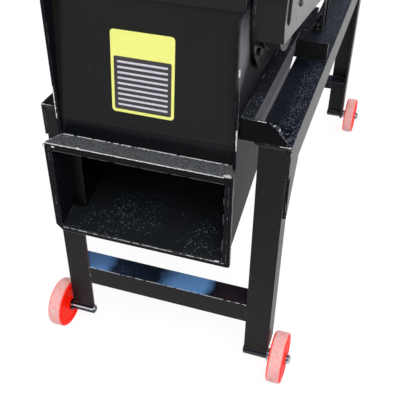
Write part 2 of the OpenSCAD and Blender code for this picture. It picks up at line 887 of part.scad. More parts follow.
drive_th = heading(cut_y, cut_z, feed_y, feed_z);
roller_phase = mesh_phase(drive_th, pinion_n, roller_n, drive_th);
upper_phase = mesh_phase(90, deep_n, deep_n, 90);

module cutter_pinion() {
    color(steel)
        about_x(cut_y, cut_z)
            translate([0, 0, drive_x])
                difference() {
                    rotate(drive_th)
                        gear(gear_m, pinion_n, gear_w, 5);
                    translate([0, 0, -1])
                        cylinder(h = gear_w + 2, r = shaft_r - 3);
                }
}

// Pan that closes the gear train on the left
module cover_outline(grow) {
    ra = gear_m * (pinion_n + 2) / 2 + 4 + grow;
    rb = gear_m * (roller_n + 2) / 2 + 2 + grow;
    b = 90 + asin((rb - ra) / drive_d);
    polygon(concat(arc([cut_y, cut_z], ra, drive_th + b, drive_th + 360 - b, 12),
        arc([feed_y, feed_z], rb, drive_th - b, drive_th + b, 56)));
}

module gear_cover() {
    color(black) {
        along_x(cover_x, cover_x + sheet_t)
            cover_outline(sheet_t);
        along_x(cover_x + sheet_t, left_x)
            difference() {
                cover_outline(sheet_t);
                cover_outline(0);
                translate([cut_y, cut_z]) circle(r = bearing_room);
            }
    }
}

// Feed rollers

module roller_bushes() {
    color(zinc)
        for (x = [in_left, in_right])
            about_x(feed_y, feed_z)
                translate([0, 0, x - (x < 0 ? side_t : 0)])
                    difference() {
                        union() {
                            cylinder(h = side_t, r = 16);
                            translate([0, 0, x < 0 ? side_t : -3])
                                cylinder(h = 3, r = 19);
                        }
                        translate([0, 0, -5])
                            cylinder(h = side_t + 10, r = 10 + run);
                    }
}

module ribbed_roller(y, z, x0, x1) {
    about_x(y, z) {
        translate([0, 0, x0])
            linear_extrude(x1 - x0)
                union() {
                    circle(r = roller_r - 5);
                    for (k = [0:rib_n - 1])
                        rotate(k * 360 / rib_n)
                            polygon([[roller_r - 8, -4], [roller_r - 1, -2], [roller_r, -1.2],
                                [roller_r, 1.2], [roller_r - 1, 2], [roller_r - 8, 4]]);
                }
    }
}

roller_x0 = in_left + 8;
roller_x1 = in_right - 8;

module lower_roller() {
    color(steel) {
        ribbed_roller(feed_y, feed_z, roller_x0, roller_x1);
        rod_x(drive_x - 1, right_x + 4, feed_y, feed_z, 10);
    }
}

module lower_gears() {
    color(steel)
        about_x(feed_y, feed_z)
            difference() {
                union() {
                    translate([0, 0, drive_x])
                        rotate(roller_phase)
                            gear(gear_m, roller_n, gear_w, 3);
                    translate([0, 0, drive_x + gear_w])
                        cylinder(h = 3, r = 15);
                    translate([0, 0, mesh_x])
                        rotate(90)
                            gear(deep_m, deep_n, gear_w, 6);
                }
                translate([0, 0, drive_x - 2])
                    cylinder(h = 2 * gear_w + 8, r = 10);
                for (k = [0:5])
                    rotate(k * 60)
                        translate([76, 0, drive_x - 1])
                            cylinder(h = gear_w + 2, r = 24);
            }
}

module upper_roller() {
    color(steel) {
        ribbed_roller(feed_y, upper_z, roller_x0, roller_x1);
        rod_x(mesh_x - 1, right_x + 4, feed_y, upper_z, 10);
    }
}

module upper_gear() {
    color(steel)
        about_x(feed_y, upper_z)
            translate([0, 0, mesh_x])
                difference() {
                    rotate(upper_phase)
                        gear(deep_m, deep_n, gear_w, 6);
                    translate([0, 0, -1])
                        cylinder(h = gear_w + 2, r = 10);
                }
}

// Sliding blocks in the side plates' slots, joined by a yoke over the upper roller
module roller_yoke() {
    z0 = upper_z - block_h / 2;
    y0 = front + feed_y - block_w / 2;
    lip = 3;
    color(black)
        difference() {
            union() {
                for (x = [left_x, in_right]) {
                    translate([x - gap - lip, y0, z0])
                        cube([side_t + 2 * gap + 2 * lip, block_w, block_h]);
                    for (dx = [-gap - lip, side_t + gap])
                        translate([x + dx, y0 - 6, z0])
                            cube([lip, block_w + 12, block_h]);
                }
                for (x = [in_left + gap, in_right - gap - 6])
                    translate([x, y0, z0 + block_h - 1])
                        cube([6, block_w, yoke_z + 8 - z0 - block_h + 1]);
                translate([in_left + gap, y0, yoke_z])
                    cube([in_right - in_left - 2 * gap, block_w, 8]);
            }
            for (x = [left_x - 5, in_right - 7])
                rod_x(x, x + 20, feed_y, upper_z, 10 + run);
        }
}

module spring_bridge() {
    color(black)
        translate([left_x, front + ear_y0 + 2, ear_top])
            cube([house_w, ear_y1 - ear_y0 - 4, 6]);
    color(zinc)
        for (x = spring_xs) {
            rod_z(x, feed_y, ear_top - spring_l * 0.6, ear_top, 6);
            rod_z(x, feed_y, ear_top + 6, ear_top + 36, 6);
            translate([x, front + feed_y, ear_top + 6])
                cylinder(h = 9, r = 10, $fn = 6);
            translate([x, front + feed_y, ear_top + 30])
                cylinder(h = 8, r = 10, $fn = 6);
        }
}

spring_xs = [in_left + 34, in_right - 34];

// Closed ring of six points about the coil's path at turn angle a
function coil_ring(x, a, z, sides) = [for (k = [0:sides - 1])
    let (b = k * 360 / sides, r = coil_r + wire_r * cos(b))
    [x + r * cos(a), front + feed_y + r * sin(a), z + wire_r * sin(b)]];

function coil_height(t) = let (end = 1, free = coil_n - 2 * end, p = wire_r * 2.1)
    t < end ? t * p : t < coil_n - end ? p + (t - end) * (spring_l - 2 * wire_r - 2 * p) / free
    : spring_l - 2 * wire_r - (coil_n - t) * p;

module coil(x) {
    sides = 6;
    per_turn = 16;
    rings = coil_n * per_turn;
    pts = [for (i = [0:rings]) each coil_ring(x, i * 360 / per_turn,
        yoke_z + 8 + wire_r + coil_height(i / per_turn), sides)];
    faces = concat([[for (k = [0:sides - 1]) k]],
        [for (i = [0:rings - 1], k = [0:sides - 1]) [i * sides + k, (i + 1) * sides + k,
            (i + 1) * sides + (k + 1) % sides]],
        [for (i = [0:rings - 1], k = [0:sides - 1]) [i * sides + k,
            (i + 1) * sides + (k + 1) % sides, i * sides + (k + 1) % sides]],
        [[for (k = [sides - 1:-1:0]) rings * sides + k]]);
    polyhedron(points = pts, faces = faces, convexity = 10);
}

module pressure_springs() {
    color(zinc)
        for (x = spring_xs)
            coil(x);
}

// Trough and its supports

module feed_trough() {
    x0 = in_left + gap;
    x1 = in_right - gap;
    y0 = ear_y1 + 3;
    w = 2;
    hem = 4;
    color(black)
        along_y(y0, trough_end)
            polygon(concat([[x0, trough_z]], [[x1, trough_z], [x1, trough_z + trough_h]],
                arc([x1 - hem, trough_z + trough_h], hem, 0, 270, 8),
                [[x1 - hem, trough_z + trough_h - hem + w], [x1 - w, trough_z + trough_h - hem + w],
                [x1 - w, trough_z + w], [x0 + w, trough_z + w],
                [x0 + w, trough_z + trough_h - hem + w], [x0 + hem, trough_z + trough_h - hem + w]],
                arc([x0 + hem, trough_z + trough_h], hem, -90, 180, 8)));
}

module trough_supports() {
    y = frame_l - rail_s + 4;
    x0 = in_left + 20;
    x1 = in_right - 20;
    color(black) {
        for (x = [x0, x1])
            translate([x, front + y, rail_top])
                mirror([x > house_x ? 1 : 0, 0, 0])
                    linear_extrude(trough_z - rail_top)
                        angle_section(28, 28, 3);
        along_y(y + 3, y + 6)
            polygon([[x0 + 3, trough_z - 60], [x1 - 3, trough_z - 60], [x1 - 3, trough_z - 34],
                [x0 + 3, trough_z - 34]]);
    }
}

// Motor

module motor_base() {
    inner = half_w - rail_s - 2;
    y0 = motor_y - 74;
    color(black) {
        translate([-inner, front + y0, rail_top - iron_t])
            cube([2 * inner, 148, motor_plate_t]);
        for (y = [motor_y - 30, motor_y + 36])
            translate([iron_t - leg_x, front + y, rail_top - iron_t])
                rotate([0, 90, 0])
                    linear_extrude(2 * (leg_x - iron_t))
                        angle_section(30, 30, 3);
    }
}

module motor_housing() {
    core = motor_r - 9;
    color(black)
        difference() {
            union() {
                about_x(motor_y, motor_z)
                    translate([0, 0, motor_x0])
                        linear_extrude(motor_l)
                            union() {
                                circle(r = core);
                                for (k = [0:fin_n - 1])
                                    rotate(k * 360 / fin_n)
                                        translate([core - 2, -1.2])
                                            square([motor_r - core + 2, 2.4]);
                            }
                about_x(motor_y, motor_z)
                    translate([0, 0, motor_x1])
                        rotate_extrude()
                            polygon([[0, 0], [motor_r, 0], [motor_r, 6], [motor_r - 6, 10],
                                [40, 16], [26, 22], [0, 22]]);
                along_x(box_x, box_x + 84)
                    translate([motor_y + 30, motor_z - 6])
                        square([box_y - motor_y - 30, 26]);
                for (x = [motor_x0 + 26, motor_x1 - 56])
                    along_x(x, x + 34)
                        polygon([[motor_y - 62, motor_z - motor_h], [motor_y + 62, motor_z - motor_h],
                            [motor_y + 62, motor_z - motor_h + 9], [motor_y + 44, motor_z - 40],
                            [motor_y - 44, motor_z - 40], [motor_y - 62, motor_z - motor_h + 9]]);
            }
            rod_x(motor_x0 - 1, motor_x1 + 30, motor_y, motor_z, motor_shaft_r + run);
        }
}

module fan_cover() {
    l = fan_l;
    r = motor_r - 2;
    color(black)
        about_x(motor_y, motor_z)
            translate([0, 0, motor_x0 - l])
                difference() {
                    rotate_extrude()
                        polygon(concat([[0, 0]], arc([r - 12, 12], 12, -90, 0, 5), [[r, l], [r - 2, l]],
                            [[r - 2, 12]], arc([r - 12, 12], 10, 0, -90, 5), [[0, 2]]));
                    for (k = [0:11], ring = [0:1])
                        rotate(k * 30 + ring * 15)
                            translate([22 + ring * 15, 0, -1])
                                cylinder(h = 4, r = 4.5);
                }
}

module terminal_box() {
    z0 = motor_z - 6;
    color(black)
        difference() {
            union() {
                along_x(box_x, box_x + 84)
                    polygon(concat([[box_y, z0]], arc([box_y + 44, z0 + 6], 6, -90, 0, 4),
                        arc([box_y + 44, z0 + 50], 6, 0, 90, 4), arc([box_y + 16, z0 + 50], 6, 90, 180, 4),
                        [[box_y + 10, z0 + 26], [box_y, z0 + 20]]));
                along_x(box_x - 1.5, box_x + 85.5)
                    translate([box_y + 42, z0 - 1.5]) square([3, 59]);
                rod_z(box_x + 24, box_y + 24, z0 - 16, z0, 11);
                translate([box_x + 24, front + box_y + 24, z0 - 12])
                    cylinder(h = 7, r = 14, $fn = 6);
            }
            rod_z(box_x + 24, box_y + 24, z0 - 20, z0 + 12, 6);
        }
}

module motor_rotor() {
    fan_x = motor_x0 - 34;
    color(steel)
        rod_x(fan_x - 4, pulley_x + pulley_w + 2, motor_y, motor_z, motor_shaft_r);
    color(black)
        about_x(motor_y, motor_z) {
            translate([0, 0, pulley_x])
                groove_pulley(small_r, 20, motor_shaft_r - 0.5, pulley_w, 20.5, 0, pulley_w, pulley_w);
            translate([0, 0, fan_x])
                difference() {
                    union() {
                        cylinder(h = 26, r = 20);
                        translate([0, 0, 22]) cylinder(h = 4, r = 54);
                        for (k = [0:6])
                            rotate(k * 360 / 7)
                                translate([16, -1.5, 4])
                                    cube([36, 3, 20]);
                    }
                    translate([0, 0, -1]) cylinder(h = 40, r = motor_shaft_r - 0.5);
                }
        }
}

// Open belt round both pulleys
belt_r1 = pulley_r - 1;
belt_r2 = small_r - 1;
belt_d = norm([motor_y - cut_y, motor_z - cut_z]);
belt_th = atan2(motor_z - cut_z, motor_y - cut_y);
belt_b = asin((belt_r1 - belt_r2) / belt_d);

// One section of the belt's loop at angle a round a pulley's centre
function belt_ring(y, z, r, a) = let (in_w = belt_w / 2 - belt_h * tan(18))
    [for (q = [[0, -belt_w / 2], [0, belt_w / 2], [-belt_h, in_w], [-belt_h, -in_w]])
        [pulley_x + pulley_w / 2 + q[1], front + y + (r + q[0]) * cos(a), z + (r + q[0]) * sin(a)]];

module drive_belt() {
    steps = 40;
    wrap1 = 180 + 2 * belt_b;
    wrap2 = 180 - 2 * belt_b;
    rings = concat(
        [for (i = [0:steps]) belt_ring(cut_y, cut_z, belt_r1, belt_th + 90 - belt_b + wrap1 * i / steps)],
        [for (i = [0:steps])
            belt_ring(motor_y, motor_z, belt_r2, belt_th - 90 + belt_b + wrap2 * i / steps)]);
    n = len(rings);
    faces = [for (i = [0:n - 1], k = [0:3], half = [0, 1])
        let (a = i * 4 + k, b = i * 4 + (k + 1) % 4, c = ((i + 1) % n) * 4 + k,
            d = ((i + 1) % n) * 4 + (k + 1) % 4)
        half == 0 ? [a, b, d] : [a, d, c]];
    color([0.12, 0.12, 0.12])
        polyhedron(points = [for (r = rings) each r], faces = faces, convexity = 6);
}

// Ring behind the cutter pulley on three spacers; the guard stands on it
module guard_back() {
    spacer_r = (pulley_r + guard_r) / 2;
    color(black)
        about_x(cut_y, cut_z) {
            difference() {
                translate([0, 0, right_x + 4])
                    cylinder(h = 3, r = guard_r, $fn = 128);
                translate([0, 0, right_x + 3])
                    cylinder(h = 5, r = bearing_room);
            }
            for (k = [0:2])
                rotate(100 + k * 120) {
                    translate([spacer_r, 0, right_x])
                        cylinder(h = 4, r = 6);
                    translate([spacer_r, 0, right_x + 7])
                        cylinder(h = 3.5, r = 5.5, $fn = 6);
                }
        }
}

// Guard over the belt: a plate with a rim round its upper side and two feet
module guard_outline(grow) {
    ra = guard_r - 2 + grow;
    rb = small_r + 14 + grow;
    d = belt_d;
    b = asin((ra - rb) / d);
    union() {
        translate([cut_y, cut_z]) circle(r = ra);
        translate([motor_y, motor_z]) circle(r = rb);
        translate([cut_y, cut_z])
            rotate(belt_th)
                polygon([ra * [sin(b), cos(b)], [d, 0] + rb * [sin(b), cos(b)],
                    [d, 0] + rb * [sin(b), -cos(b)], ra * [sin(b), -cos(b)]]);
    }
}

module guard_window() {
    low_a = cut_z - 22;
    low_b = motor_z - 30;
    polygon([[cut_y - 130, low_a], [motor_y + 80, low_b], [motor_y + 80, cut_z + 140],
        [cut_y - 130, cut_z + 140]]);
}

module belt_guard() {
    foot_y = motor_y - 30;
    color(black) {
        along_x(guard_x, guard_x + 2)
            intersection() {
                guard_outline(2);
                guard_window();
            }
        along_x(right_x + 7, guard_x)
            intersection() {
                difference() {
                    guard_outline(2);
                    guard_outline(0);
                }
                guard_window();
            }
        for (y = [foot_y, foot_y + 46])
            along_x(guard_x - 3, guard_x)
                polygon([[y, rail_top], [y + 18, rail_top], [y + 18, motor_z], [y, motor_z]]);
        for (y = [foot_y, foot_y + 46])
            along_x(guard_x - 18, guard_x)
                polygon([[y, rail_top], [y + 18, rail_top], [y + 18, rail_top + 3], [y, rail_top + 3]]);
    }
}

leg_front_left();
leg_front_right();
leg_rear_left();
leg_rear_right();
rail_left();
rail_right();
front_crossbar();
rear_crossbar();
rear_top_beam();
middle_beam();
front_brackets();
deck_beam();
frame_bolts();
axle_bolts();
wheel_front_left();
wheel_front_right();
wheel_rear_left();
wheel_rear_right();
side_plate_left();
side_plate_right();
front_plate();
chute_floor();
chute_left_wall();
chute_mouth();
knife_beam();
bed_knife();
machine_bolts();
top_bar();
hinge_pin();
hood();
bearing_left();
bearing_right();
cutter_shaft();
blade_carrier();
blades();
blade_bolts();
cutter_pulley();
cutter_pinion();
gear_cover();
roller_bushes();
lower_roller();
lower_gears();
upper_roller();
upper_gear();
roller_yoke();
spring_bridge();
pressure_springs();
feed_trough();
trough_supports();
motor_base();
motor_housing();
fan_cover();
terminal_box();
motor_rotor();
drive_belt();
guard_back();
belt_guard();
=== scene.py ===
import bpy, bmesh, json, math, random
from mathutils import Vector, Matrix

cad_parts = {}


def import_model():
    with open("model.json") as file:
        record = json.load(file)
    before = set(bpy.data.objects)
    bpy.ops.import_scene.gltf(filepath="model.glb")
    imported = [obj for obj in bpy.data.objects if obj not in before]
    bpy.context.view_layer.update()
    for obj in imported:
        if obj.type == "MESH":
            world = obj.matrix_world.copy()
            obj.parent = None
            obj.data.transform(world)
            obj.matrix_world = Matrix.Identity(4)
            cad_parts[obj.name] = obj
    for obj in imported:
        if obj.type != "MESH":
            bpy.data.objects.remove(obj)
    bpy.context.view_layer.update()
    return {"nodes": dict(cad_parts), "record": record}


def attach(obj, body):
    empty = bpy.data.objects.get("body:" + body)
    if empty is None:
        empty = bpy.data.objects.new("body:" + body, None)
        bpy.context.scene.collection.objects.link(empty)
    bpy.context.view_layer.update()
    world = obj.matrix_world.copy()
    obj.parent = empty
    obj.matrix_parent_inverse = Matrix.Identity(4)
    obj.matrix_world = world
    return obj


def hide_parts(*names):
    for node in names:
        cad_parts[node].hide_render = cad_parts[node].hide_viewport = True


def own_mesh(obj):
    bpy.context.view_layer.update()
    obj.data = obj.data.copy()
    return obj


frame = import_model()
rnd = random.Random(11)

# -------- places of the solids, in millimetres
# x from the machine's middle, y back from the front legs' face, z up from the ground
RIM_Y, TROUGH_END = -41, 1005  # front of the outlet's rim, rear end of the feed trough
MIDDLE_Y = (RIM_Y + TROUGH_END) / 2.0
HALF, LEG_IN, LEG_X = 181.0, 137.0, 177.0  # outer face of the rails, legs' inner edge and outer face
RAIL, RAIL_FOOT = 450.0, 446.0  # top and underside of the rails' upper flange
REAR = 842.0  # rear legs' face
LEFT, RIGHT, SIDE_Y = -154.0, 110.0, -8.0  # side plates: outer faces, front edge above the outlet
PLATE_Y, PLATE_Z, KNEE_Z = -6, 406, 590  # foot of the leaning front plate, and where it turns upright
LEAN_ANGLE = math.radians(5.5)
LEAN = math.tan(LEAN_ANGLE)
LID_Z, MOUTH_Z, RIM_FOOT = 414, 403, 257  # outlet's rim: front edge of the lid, mouth's top, underside
CROSS_Z, DECK_Z, LUG_Z = 146.5, 482, 735  # tops of the crossbars, the deck beam and the side plates' lugs
TROUGH_LEFT, TROUGH_RIGHT = -148.7, 104.7  # outer faces of the trough's walls
TROUGH_X = ((TROUGH_LEFT, -1), (TROUGH_RIGHT, 1))
GEAR_X, GUARD_X = LEFT - 35, 154  # outer faces of the gear cover and of the belt guard
CUT_Y, CUT_Z = 118.0, 606.0  # axes of the cutter, the lower roller and the motor
FEED_Y, FEED_Z = 262.0139, 582.0
MOTOR_Y, MOTOR_Z = 415.0, 532.0
MOTOR_FACE, FOOT_X = 72, (-60, 33)  # the motor: where its end shield starts, its feet
HOOD_R, GRIP_R = 117.2, 137.8  # hood's outside and its handle's underside, from the cutter
WHEEL_X, AXLE_Z = 196, 42.5
BELT_X, SPRING_X = 130, (-115, 71)
X, Y, Z = Vector((1, 0, 0)), Vector((0, 1, 0)), Vector((0, 0, 1))


def mm(x, y, z):
    return Vector((x / 1000, y / 1000, z / 1000))


def at(x, y, z):
    return mm(x, y - MIDDLE_Y, z)


def about(x, cy, cz, r, a):
    """Point at angle a and radius r round an axis along x"""
    return at(x, cy + r * math.cos(a), cz + r * math.sin(a))


def outward(a):
    """Direction at angle a away from an axis along x"""
    return Vector((0, math.cos(a), math.sin(a)))


# -------- node trees
def rgb(r, g, b):
    """Linear colour of sRGB values from 0 to 255"""
    def linear(c):
        c /= 255.0
        return c / 12.92 if c <= 0.04045 else ((c + 0.055) / 1.055) ** 2.4
    return (linear(r), linear(g), linear(b), 1.0)


class Tree:
    """Short calls for the nodes of a tree"""
    def __init__(self, tree):
        self.t = tree

    def node(self, kind, **settings):
        n = self.t.nodes.new(kind)
        for k, v in settings.items():
            setattr(n, k, v)
        return n

    def link(self, a, b):
        self.t.links.new(a, b)

    def put(self, socket, v):
        if hasattr(v, "links"):
            self.link(v, socket)
        else:
            socket.default_value = v

    def ramp(self, fac, stops):
        """Stops are positions with a grey value or a linear colour"""
        n = self.node("ShaderNodeValToRGB")
        e = n.color_ramp.elements
        while len(e) < len(stops):
            e.new(0.5)
        for i, (p, c) in enumerate(stops):
            e[i].position = p
            e[i].color = c if isinstance(c, tuple) else (c, c, c, 1)
        self.link(fac, n.inputs["Fac"])
        return n.outputs["Color"]

    def rise(self, fac, low, high, top=1.0):
        """0 below low, top above high"""
        return self.ramp(fac, [(low, 0.0), (high, top)])

    def fall(self, fac, low, high, top=1.0):
        """Top below low, 0 above high"""
        return self.ramp(fac, [(low, top), (high, 0.0)])

    def math(self, op, a, b=0.0, clamp=False):
        n = self.node("ShaderNodeMath", operation=op, use_clamp=clamp)
        self.put(n.inputs[0], a)
        self.put(n.inputs[1], b)
        return n.outputs[0]

    def times(self, a, b):
        return self.math("MULTIPLY", a, b)

    def plus(self, a, b):
        return self.math("ADD", a, b)

    def minus(self, a, b):
        return self.math("SUBTRACT", a, b)

    def larger(self, a, b):
        return self.math("MAXIMUM", a, b)

    def split(self, vec):
        n = self.node("ShaderNodeSeparateXYZ")
        self.link(vec, n.inputs[0])
        return n.outputs

    def blend(self, fac, a, b):
        """Mix of two shaders"""
        n = self.node("ShaderNodeMixShader")
        for k, v in enumerate((fac, a, b)):
            self.link(v, n.inputs[k])
        return n.outputs[0]


class Net(Tree):
    """A material. Tones are sRGB triples, places and sizes are metres, noise scales are per metre"""
    def __init__(self, name):
        self.name = name
        self.mat = bpy.data.materials.new(name)
        self.mat.use_nodes = True
        super().__init__(self.mat.node_tree)
        self.b = self.t.nodes["Principled BSDF"]
        self.pos = self.node("ShaderNodeTexCoord").outputs["Object"]

    def noise(self, scale, detail=2.0, rough=0.5, dist=0.0, vec=None):
        n = self.node("ShaderNodeTexNoise")
        for k, v in (("Scale", scale), ("Detail", detail), ("Roughness", rough), ("Distortion", dist)):
            n.inputs[k].default_value = v
        self.link(vec or self.pos, n.inputs["Vector"])
        return n.outputs["Fac"]

    def cells(self, scale, out="Distance"):
        n = self.node("ShaderNodeTexVoronoi")
        n.inputs["Scale"].default_value = scale
        self.link(self.pos, n.inputs["Vector"])
        return n.outputs[out]

    def stretched(self, scale, turn=(0, 0, 0)):
        n = self.node("ShaderNodeMapping")
        n.inputs["Scale"].default_value = scale
        n.inputs["Rotation"].default_value = turn
        self.link(self.pos, n.inputs["Vector"])
        return n.outputs[0]

    def mix(self, fac, a, b):
        n = self.node("ShaderNodeMix", data_type="RGBA")
        self.put(n.inputs[0], fac)
        for k, v in ((6, a), (7, b)):
            self.put(n.inputs[k], rgb(*v) if isinstance(v, tuple) and len(v) == 3 else v)
        return n.outputs[2]

    def normal(self):
        return self.split(self.node("ShaderNodeNewGeometry").outputs["Normal"])

    def upward(self):
        """1 on faces that look up, 0 on upright ones"""
        return self.rise(self.normal()[2], 0.55, 0.85)

    def wobble(self, scale, detail, height):
        """Noise about zero, to make a border uneven"""
        return self.times(self.minus(self.noise(scale, detail), 0.5), height)

    def bump(self, height, strength, dist, prev=None):
        n = self.node("ShaderNodeBump")
        n.inputs["Strength"].default_value = strength
        n.inputs["Distance"].default_value = dist
        self.link(height, n.inputs["Height"])
        if prev:
            self.link(prev, n.inputs["Normal"])
        return n.outputs[0]

    def edge(self, radius):
        """1 on convex and concave edges of the mesh, 0 on flats"""
        bev = self.node("ShaderNodeBevel", samples=4)
        bev.inputs["Radius"].default_value = radius
        geo = self.node("ShaderNodeNewGeometry")
        dot = self.node("ShaderNodeVectorMath", operation="DOT_PRODUCT")
        self.link(bev.outputs[0], dot.inputs[0])
        self.link(geo.outputs["Normal"], dot.inputs[1])
        return self.math("SUBTRACT", 1.0, dot.outputs["Value"], True)

    def surface(self, tone, rough, normal):
        for name, v in (("Base Color", tone), ("Roughness", rough), ("Normal", normal)):
            self.link(v, self.b.inputs[name])

    def cover(self, fac, tone):
        """Lays a tone over the base colour"""
        base = self.b.inputs["Base Color"]
        self.link(self.mix(fac, base.links[0].from_socket, tone), base)


# -------- materials
def paint(name, a=(13, 13, 14), c=(21, 21, 21), up=(12, 15, 24), speck=0.7, wear=0.5, gloss=0.16,
          peel=0.14, level=0.17, field=(0.40, 0.62), grain=0.0, cell=300.0, outer=False):
    """Thick black powder coat with a tone on upper faces, painted glints, scuffs and worn edges.
    a, c: tones of upright faces; up, grain: tone of upper faces (a painted blue sky reflection on most
    coats, pale dust on the rim's lid) and how salted it is; speck, cell, field, outer: strength, number and
    patches of the painted glints, and if they keep to the outer strips; wear: bare edges; gloss, level:
    roughness and specular; peel: orange-peel bump"""
    m = Net(name)
    b = m.b
    b.inputs["Specular IOR Level"].default_value = level
    b.inputs["Specular Tint"].default_value = (0.88, 0.88, 1.0, 1)
    flat = m.upward()
    patch = m.rise(m.noise(13.0, 4.0, 0.6), *field)
    tone = m.mix(m.noise(6.0, 4.0), a, c)
    if grain:
        salt = m.rise(m.noise(330.0, 2.0, 0.8), 0.42, 0.60)
        up = m.mix(salt, tuple(v * (1 - grain) for v in up), tuple(v * (1 + 1.3 * grain) for v in up))
    # painted reflection: upper faces take the tone up, on the navy coats the blue sky mirrored in them
    tone = m.mix(m.times(flat, 0.9), tone, up)

    # painted glints: pale blue specks in patches, mostly on upper faces, standing in for the sky mirrored
    # in the orange peel
    near = m.fall(m.cells(cell), 0.20, 0.34)
    pick = m.rise(m.split(m.cells(cell, "Color"))[0], 0.50, 0.56)
    glints = m.times(m.times(near, pick), patch)
    tiny = m.fall(m.cells(800.0), 0.10, 0.20)
    rare = m.rise(m.split(m.cells(800.0, "Color"))[1], 0.70, 0.72)
    glints = m.larger(glints, m.times(m.times(tiny, rare), patch))
    glints = m.times(glints, m.plus(m.times(flat, 0.9), 0.02))
    if outer:
        x = m.math("ABSOLUTE", m.split(m.pos)[0])
        glints = m.times(glints, m.ramp(x, [(0.150, 0.15), (0.162, 1.0)]))
    glinted = m.mix(m.times(glints, speck), tone, (176, 192, 222))

    streaks = m.noise(22.0, 3.0, 0.7, 0.4, m.stretched((3.0, 3.0, 60.0), (0.3, 0.5, 0.2)))
    scuffed = m.mix(m.times(m.rise(streaks, 0.72, 0.80), 0.08 * wear), glinted, (120, 122, 124))
    ragged = m.times(m.edge(0.0011), m.rise(m.noise(70.0, 5.0, 0.75), 0.50, 0.60))
    bare = m.math("MULTIPLY", m.rise(ragged, 0.03, 0.12), wear, True)
    rough = m.plus(m.times(m.noise(40.0, 3.0), 0.08), gloss)
    rough = m.plus(m.plus(rough, m.times(bare, 0.25)), m.times(flat, 0.08))
    fine = m.bump(m.noise(260.0, 2.0, 0.5), peel, 0.0006)
    fine = m.bump(m.noise(1400.0, 2.0, 0.6), 0.08, 0.0003, fine)
    m.surface(m.mix(bare, scuffed, (150, 150, 150)), rough, m.bump(m.noise(14.0, 2.0), 0.10, 0.003, fine))
    return m


def sky_sheen_coat(name):
    """Black coat of the front crossbar: a painted blue sky reflection on its upper flange towards its ends,
    darker on the top of its right end
    """
    m = paint(name, (17, 16, 14), (24, 22, 20), speck=0.5, wear=0.6, field=(0.5, 0.7))
    flat = m.upward()
    x = m.plus(m.split(m.pos)[0], m.wobble(60.0, 3.0, 0.02))
    place = m.math("DIVIDE", m.plus(x, HALF / 1000), 2 * HALF / 1000)
    # where along the bar the painted sky reflection lies
    sky_sheen = m.ramp(place, [(0.0, 1.0), (0.19, 0.97), (0.235, 0.06), (0.45, 0.02),
                          (0.535, 0.9), (0.665, 0.95), (0.712, 0.0)])
    blue = m.mix(m.noise(25.0, 3.0), (100, 148, 216), (124, 176, 236))
    # darker top at the right end, then the painted blue sky reflection laid over it
    m.cover(m.times(m.times(m.rise(place, 0.70, 0.74), flat), 0.8), (40, 30, 36))
    m.cover(m.times(m.times(sky_sheen, flat), 0.92), blue)
    return m


def plate_coat(name):
    """Coat of the leaning front plate, with a painted dark reflection of the rim's lid along its foot,
    edged by a painted pale line
    """
    m = paint(name, (28, 28, 27), (34, 34, 30), speck=0.2, wear=0.3, gloss=0.12, peel=0.06, level=0.10)
    x, _, z = m.split(m.pos)[:3]
    shade_z, slope = 0.4390, 0.02
    border = m.plus(m.times(x, slope), shade_z)
    t = m.plus(m.times(m.minus(m.plus(z, m.wobble(18.0, 2.0, 0.004)), border), 100.0), 0.5)
    right = m.rise(m.times(m.plus(x, 0.15), 4.0), 0.1, 0.9)
    # painted reflection: dark band of the rim's lid along the plate's foot, darker on the left
    m.cover(m.fall(t, 0.30, 0.55, 0.9), m.mix(right, (12, 15, 18), (25, 25, 28)))
    # painted highlight: pale line along the top of the dark band, the reflection of the lid's edge
    crest = m.times(m.ramp(t, [(0.42, 0.0), (0.52, 1.0), (0.62, 0.0)]), right)
    m.cover(m.times(crest, 0.45), (62, 62, 58))
    return m


def side_coat(name):
    """Coat of the housing's side plates, with a painted pale reflection high on the right one's front edge
    """
    m = paint(name, (15, 15, 20), (21, 21, 27), speck=0.2, wear=0.4, gloss=0.42, peel=0.08, level=0.06)
    x, y, z = m.split(m.pos)[:3]
    # painted reflection: pale patch above a slanting border, on the right plate's face near its front edge
    sheen_y, sheen_z, slope = -0.4372, 0.5558, 0.627
    border = m.plus(m.times(m.minus(y, sheen_y), slope), sheen_z)
    t = m.plus(m.times(m.minus(m.plus(z, m.wobble(30.0, 3.0, 0.006)), border), 25.0), 0.2)
    rub_and_sheen = m.times(m.rise(t, 0.05, 0.85), m.rise(x, RIGHT / 1000 - 0.0015, RIGHT / 1000 - 0.0005))
    rub_and_sheen = m.times(rub_and_sheen, m.rise(m.times(y, -1.0), 0.428, 0.445))
    m.cover(m.times(rub_and_sheen, m.fall(z, 0.590, 0.625, 0.92)), (128, 129, 131))
    return m


def axle_paint(name):
    """Axle tubes: black coat, with a painted white highlight line along the front left one; plated caps
    outside the legs
    """
    m = paint(name, speck=0.1, wear=0.7, gloss=0.12, level=0.5)
    x, y, _ = m.split(m.pos)[:3]
    cap = m.rise(m.math("ABSOLUTE", x), 0.1780, 0.1790)
    left = m.times(m.rise(m.times(x, -1.0), 0.09, 0.10), m.rise(m.times(y, -1.0), 0.30, 0.32))
    plated = m.mix(m.rise(m.noise(110.0, 5.0, 0.7), 0.52, 0.70), (186, 190, 196), (70, 66, 64))
    # painted highlight: a white line along the tube's upper front, set by the upward slope of its surface
    glint = m.ramp(m.normal()[2], [(0.38, 0.0), (0.46, 1.0), (0.62, 1.0), (0.70, 0.0)])
    painted_highlight_line = m.mix(m.times(glint, 0.95), (15, 17, 22), (228, 232, 238))
    m.cover(m.larger(cap, left), m.mix(left, plated, painted_highlight_line))
    m.link(cap, m.b.inputs["Metallic"])
    return m


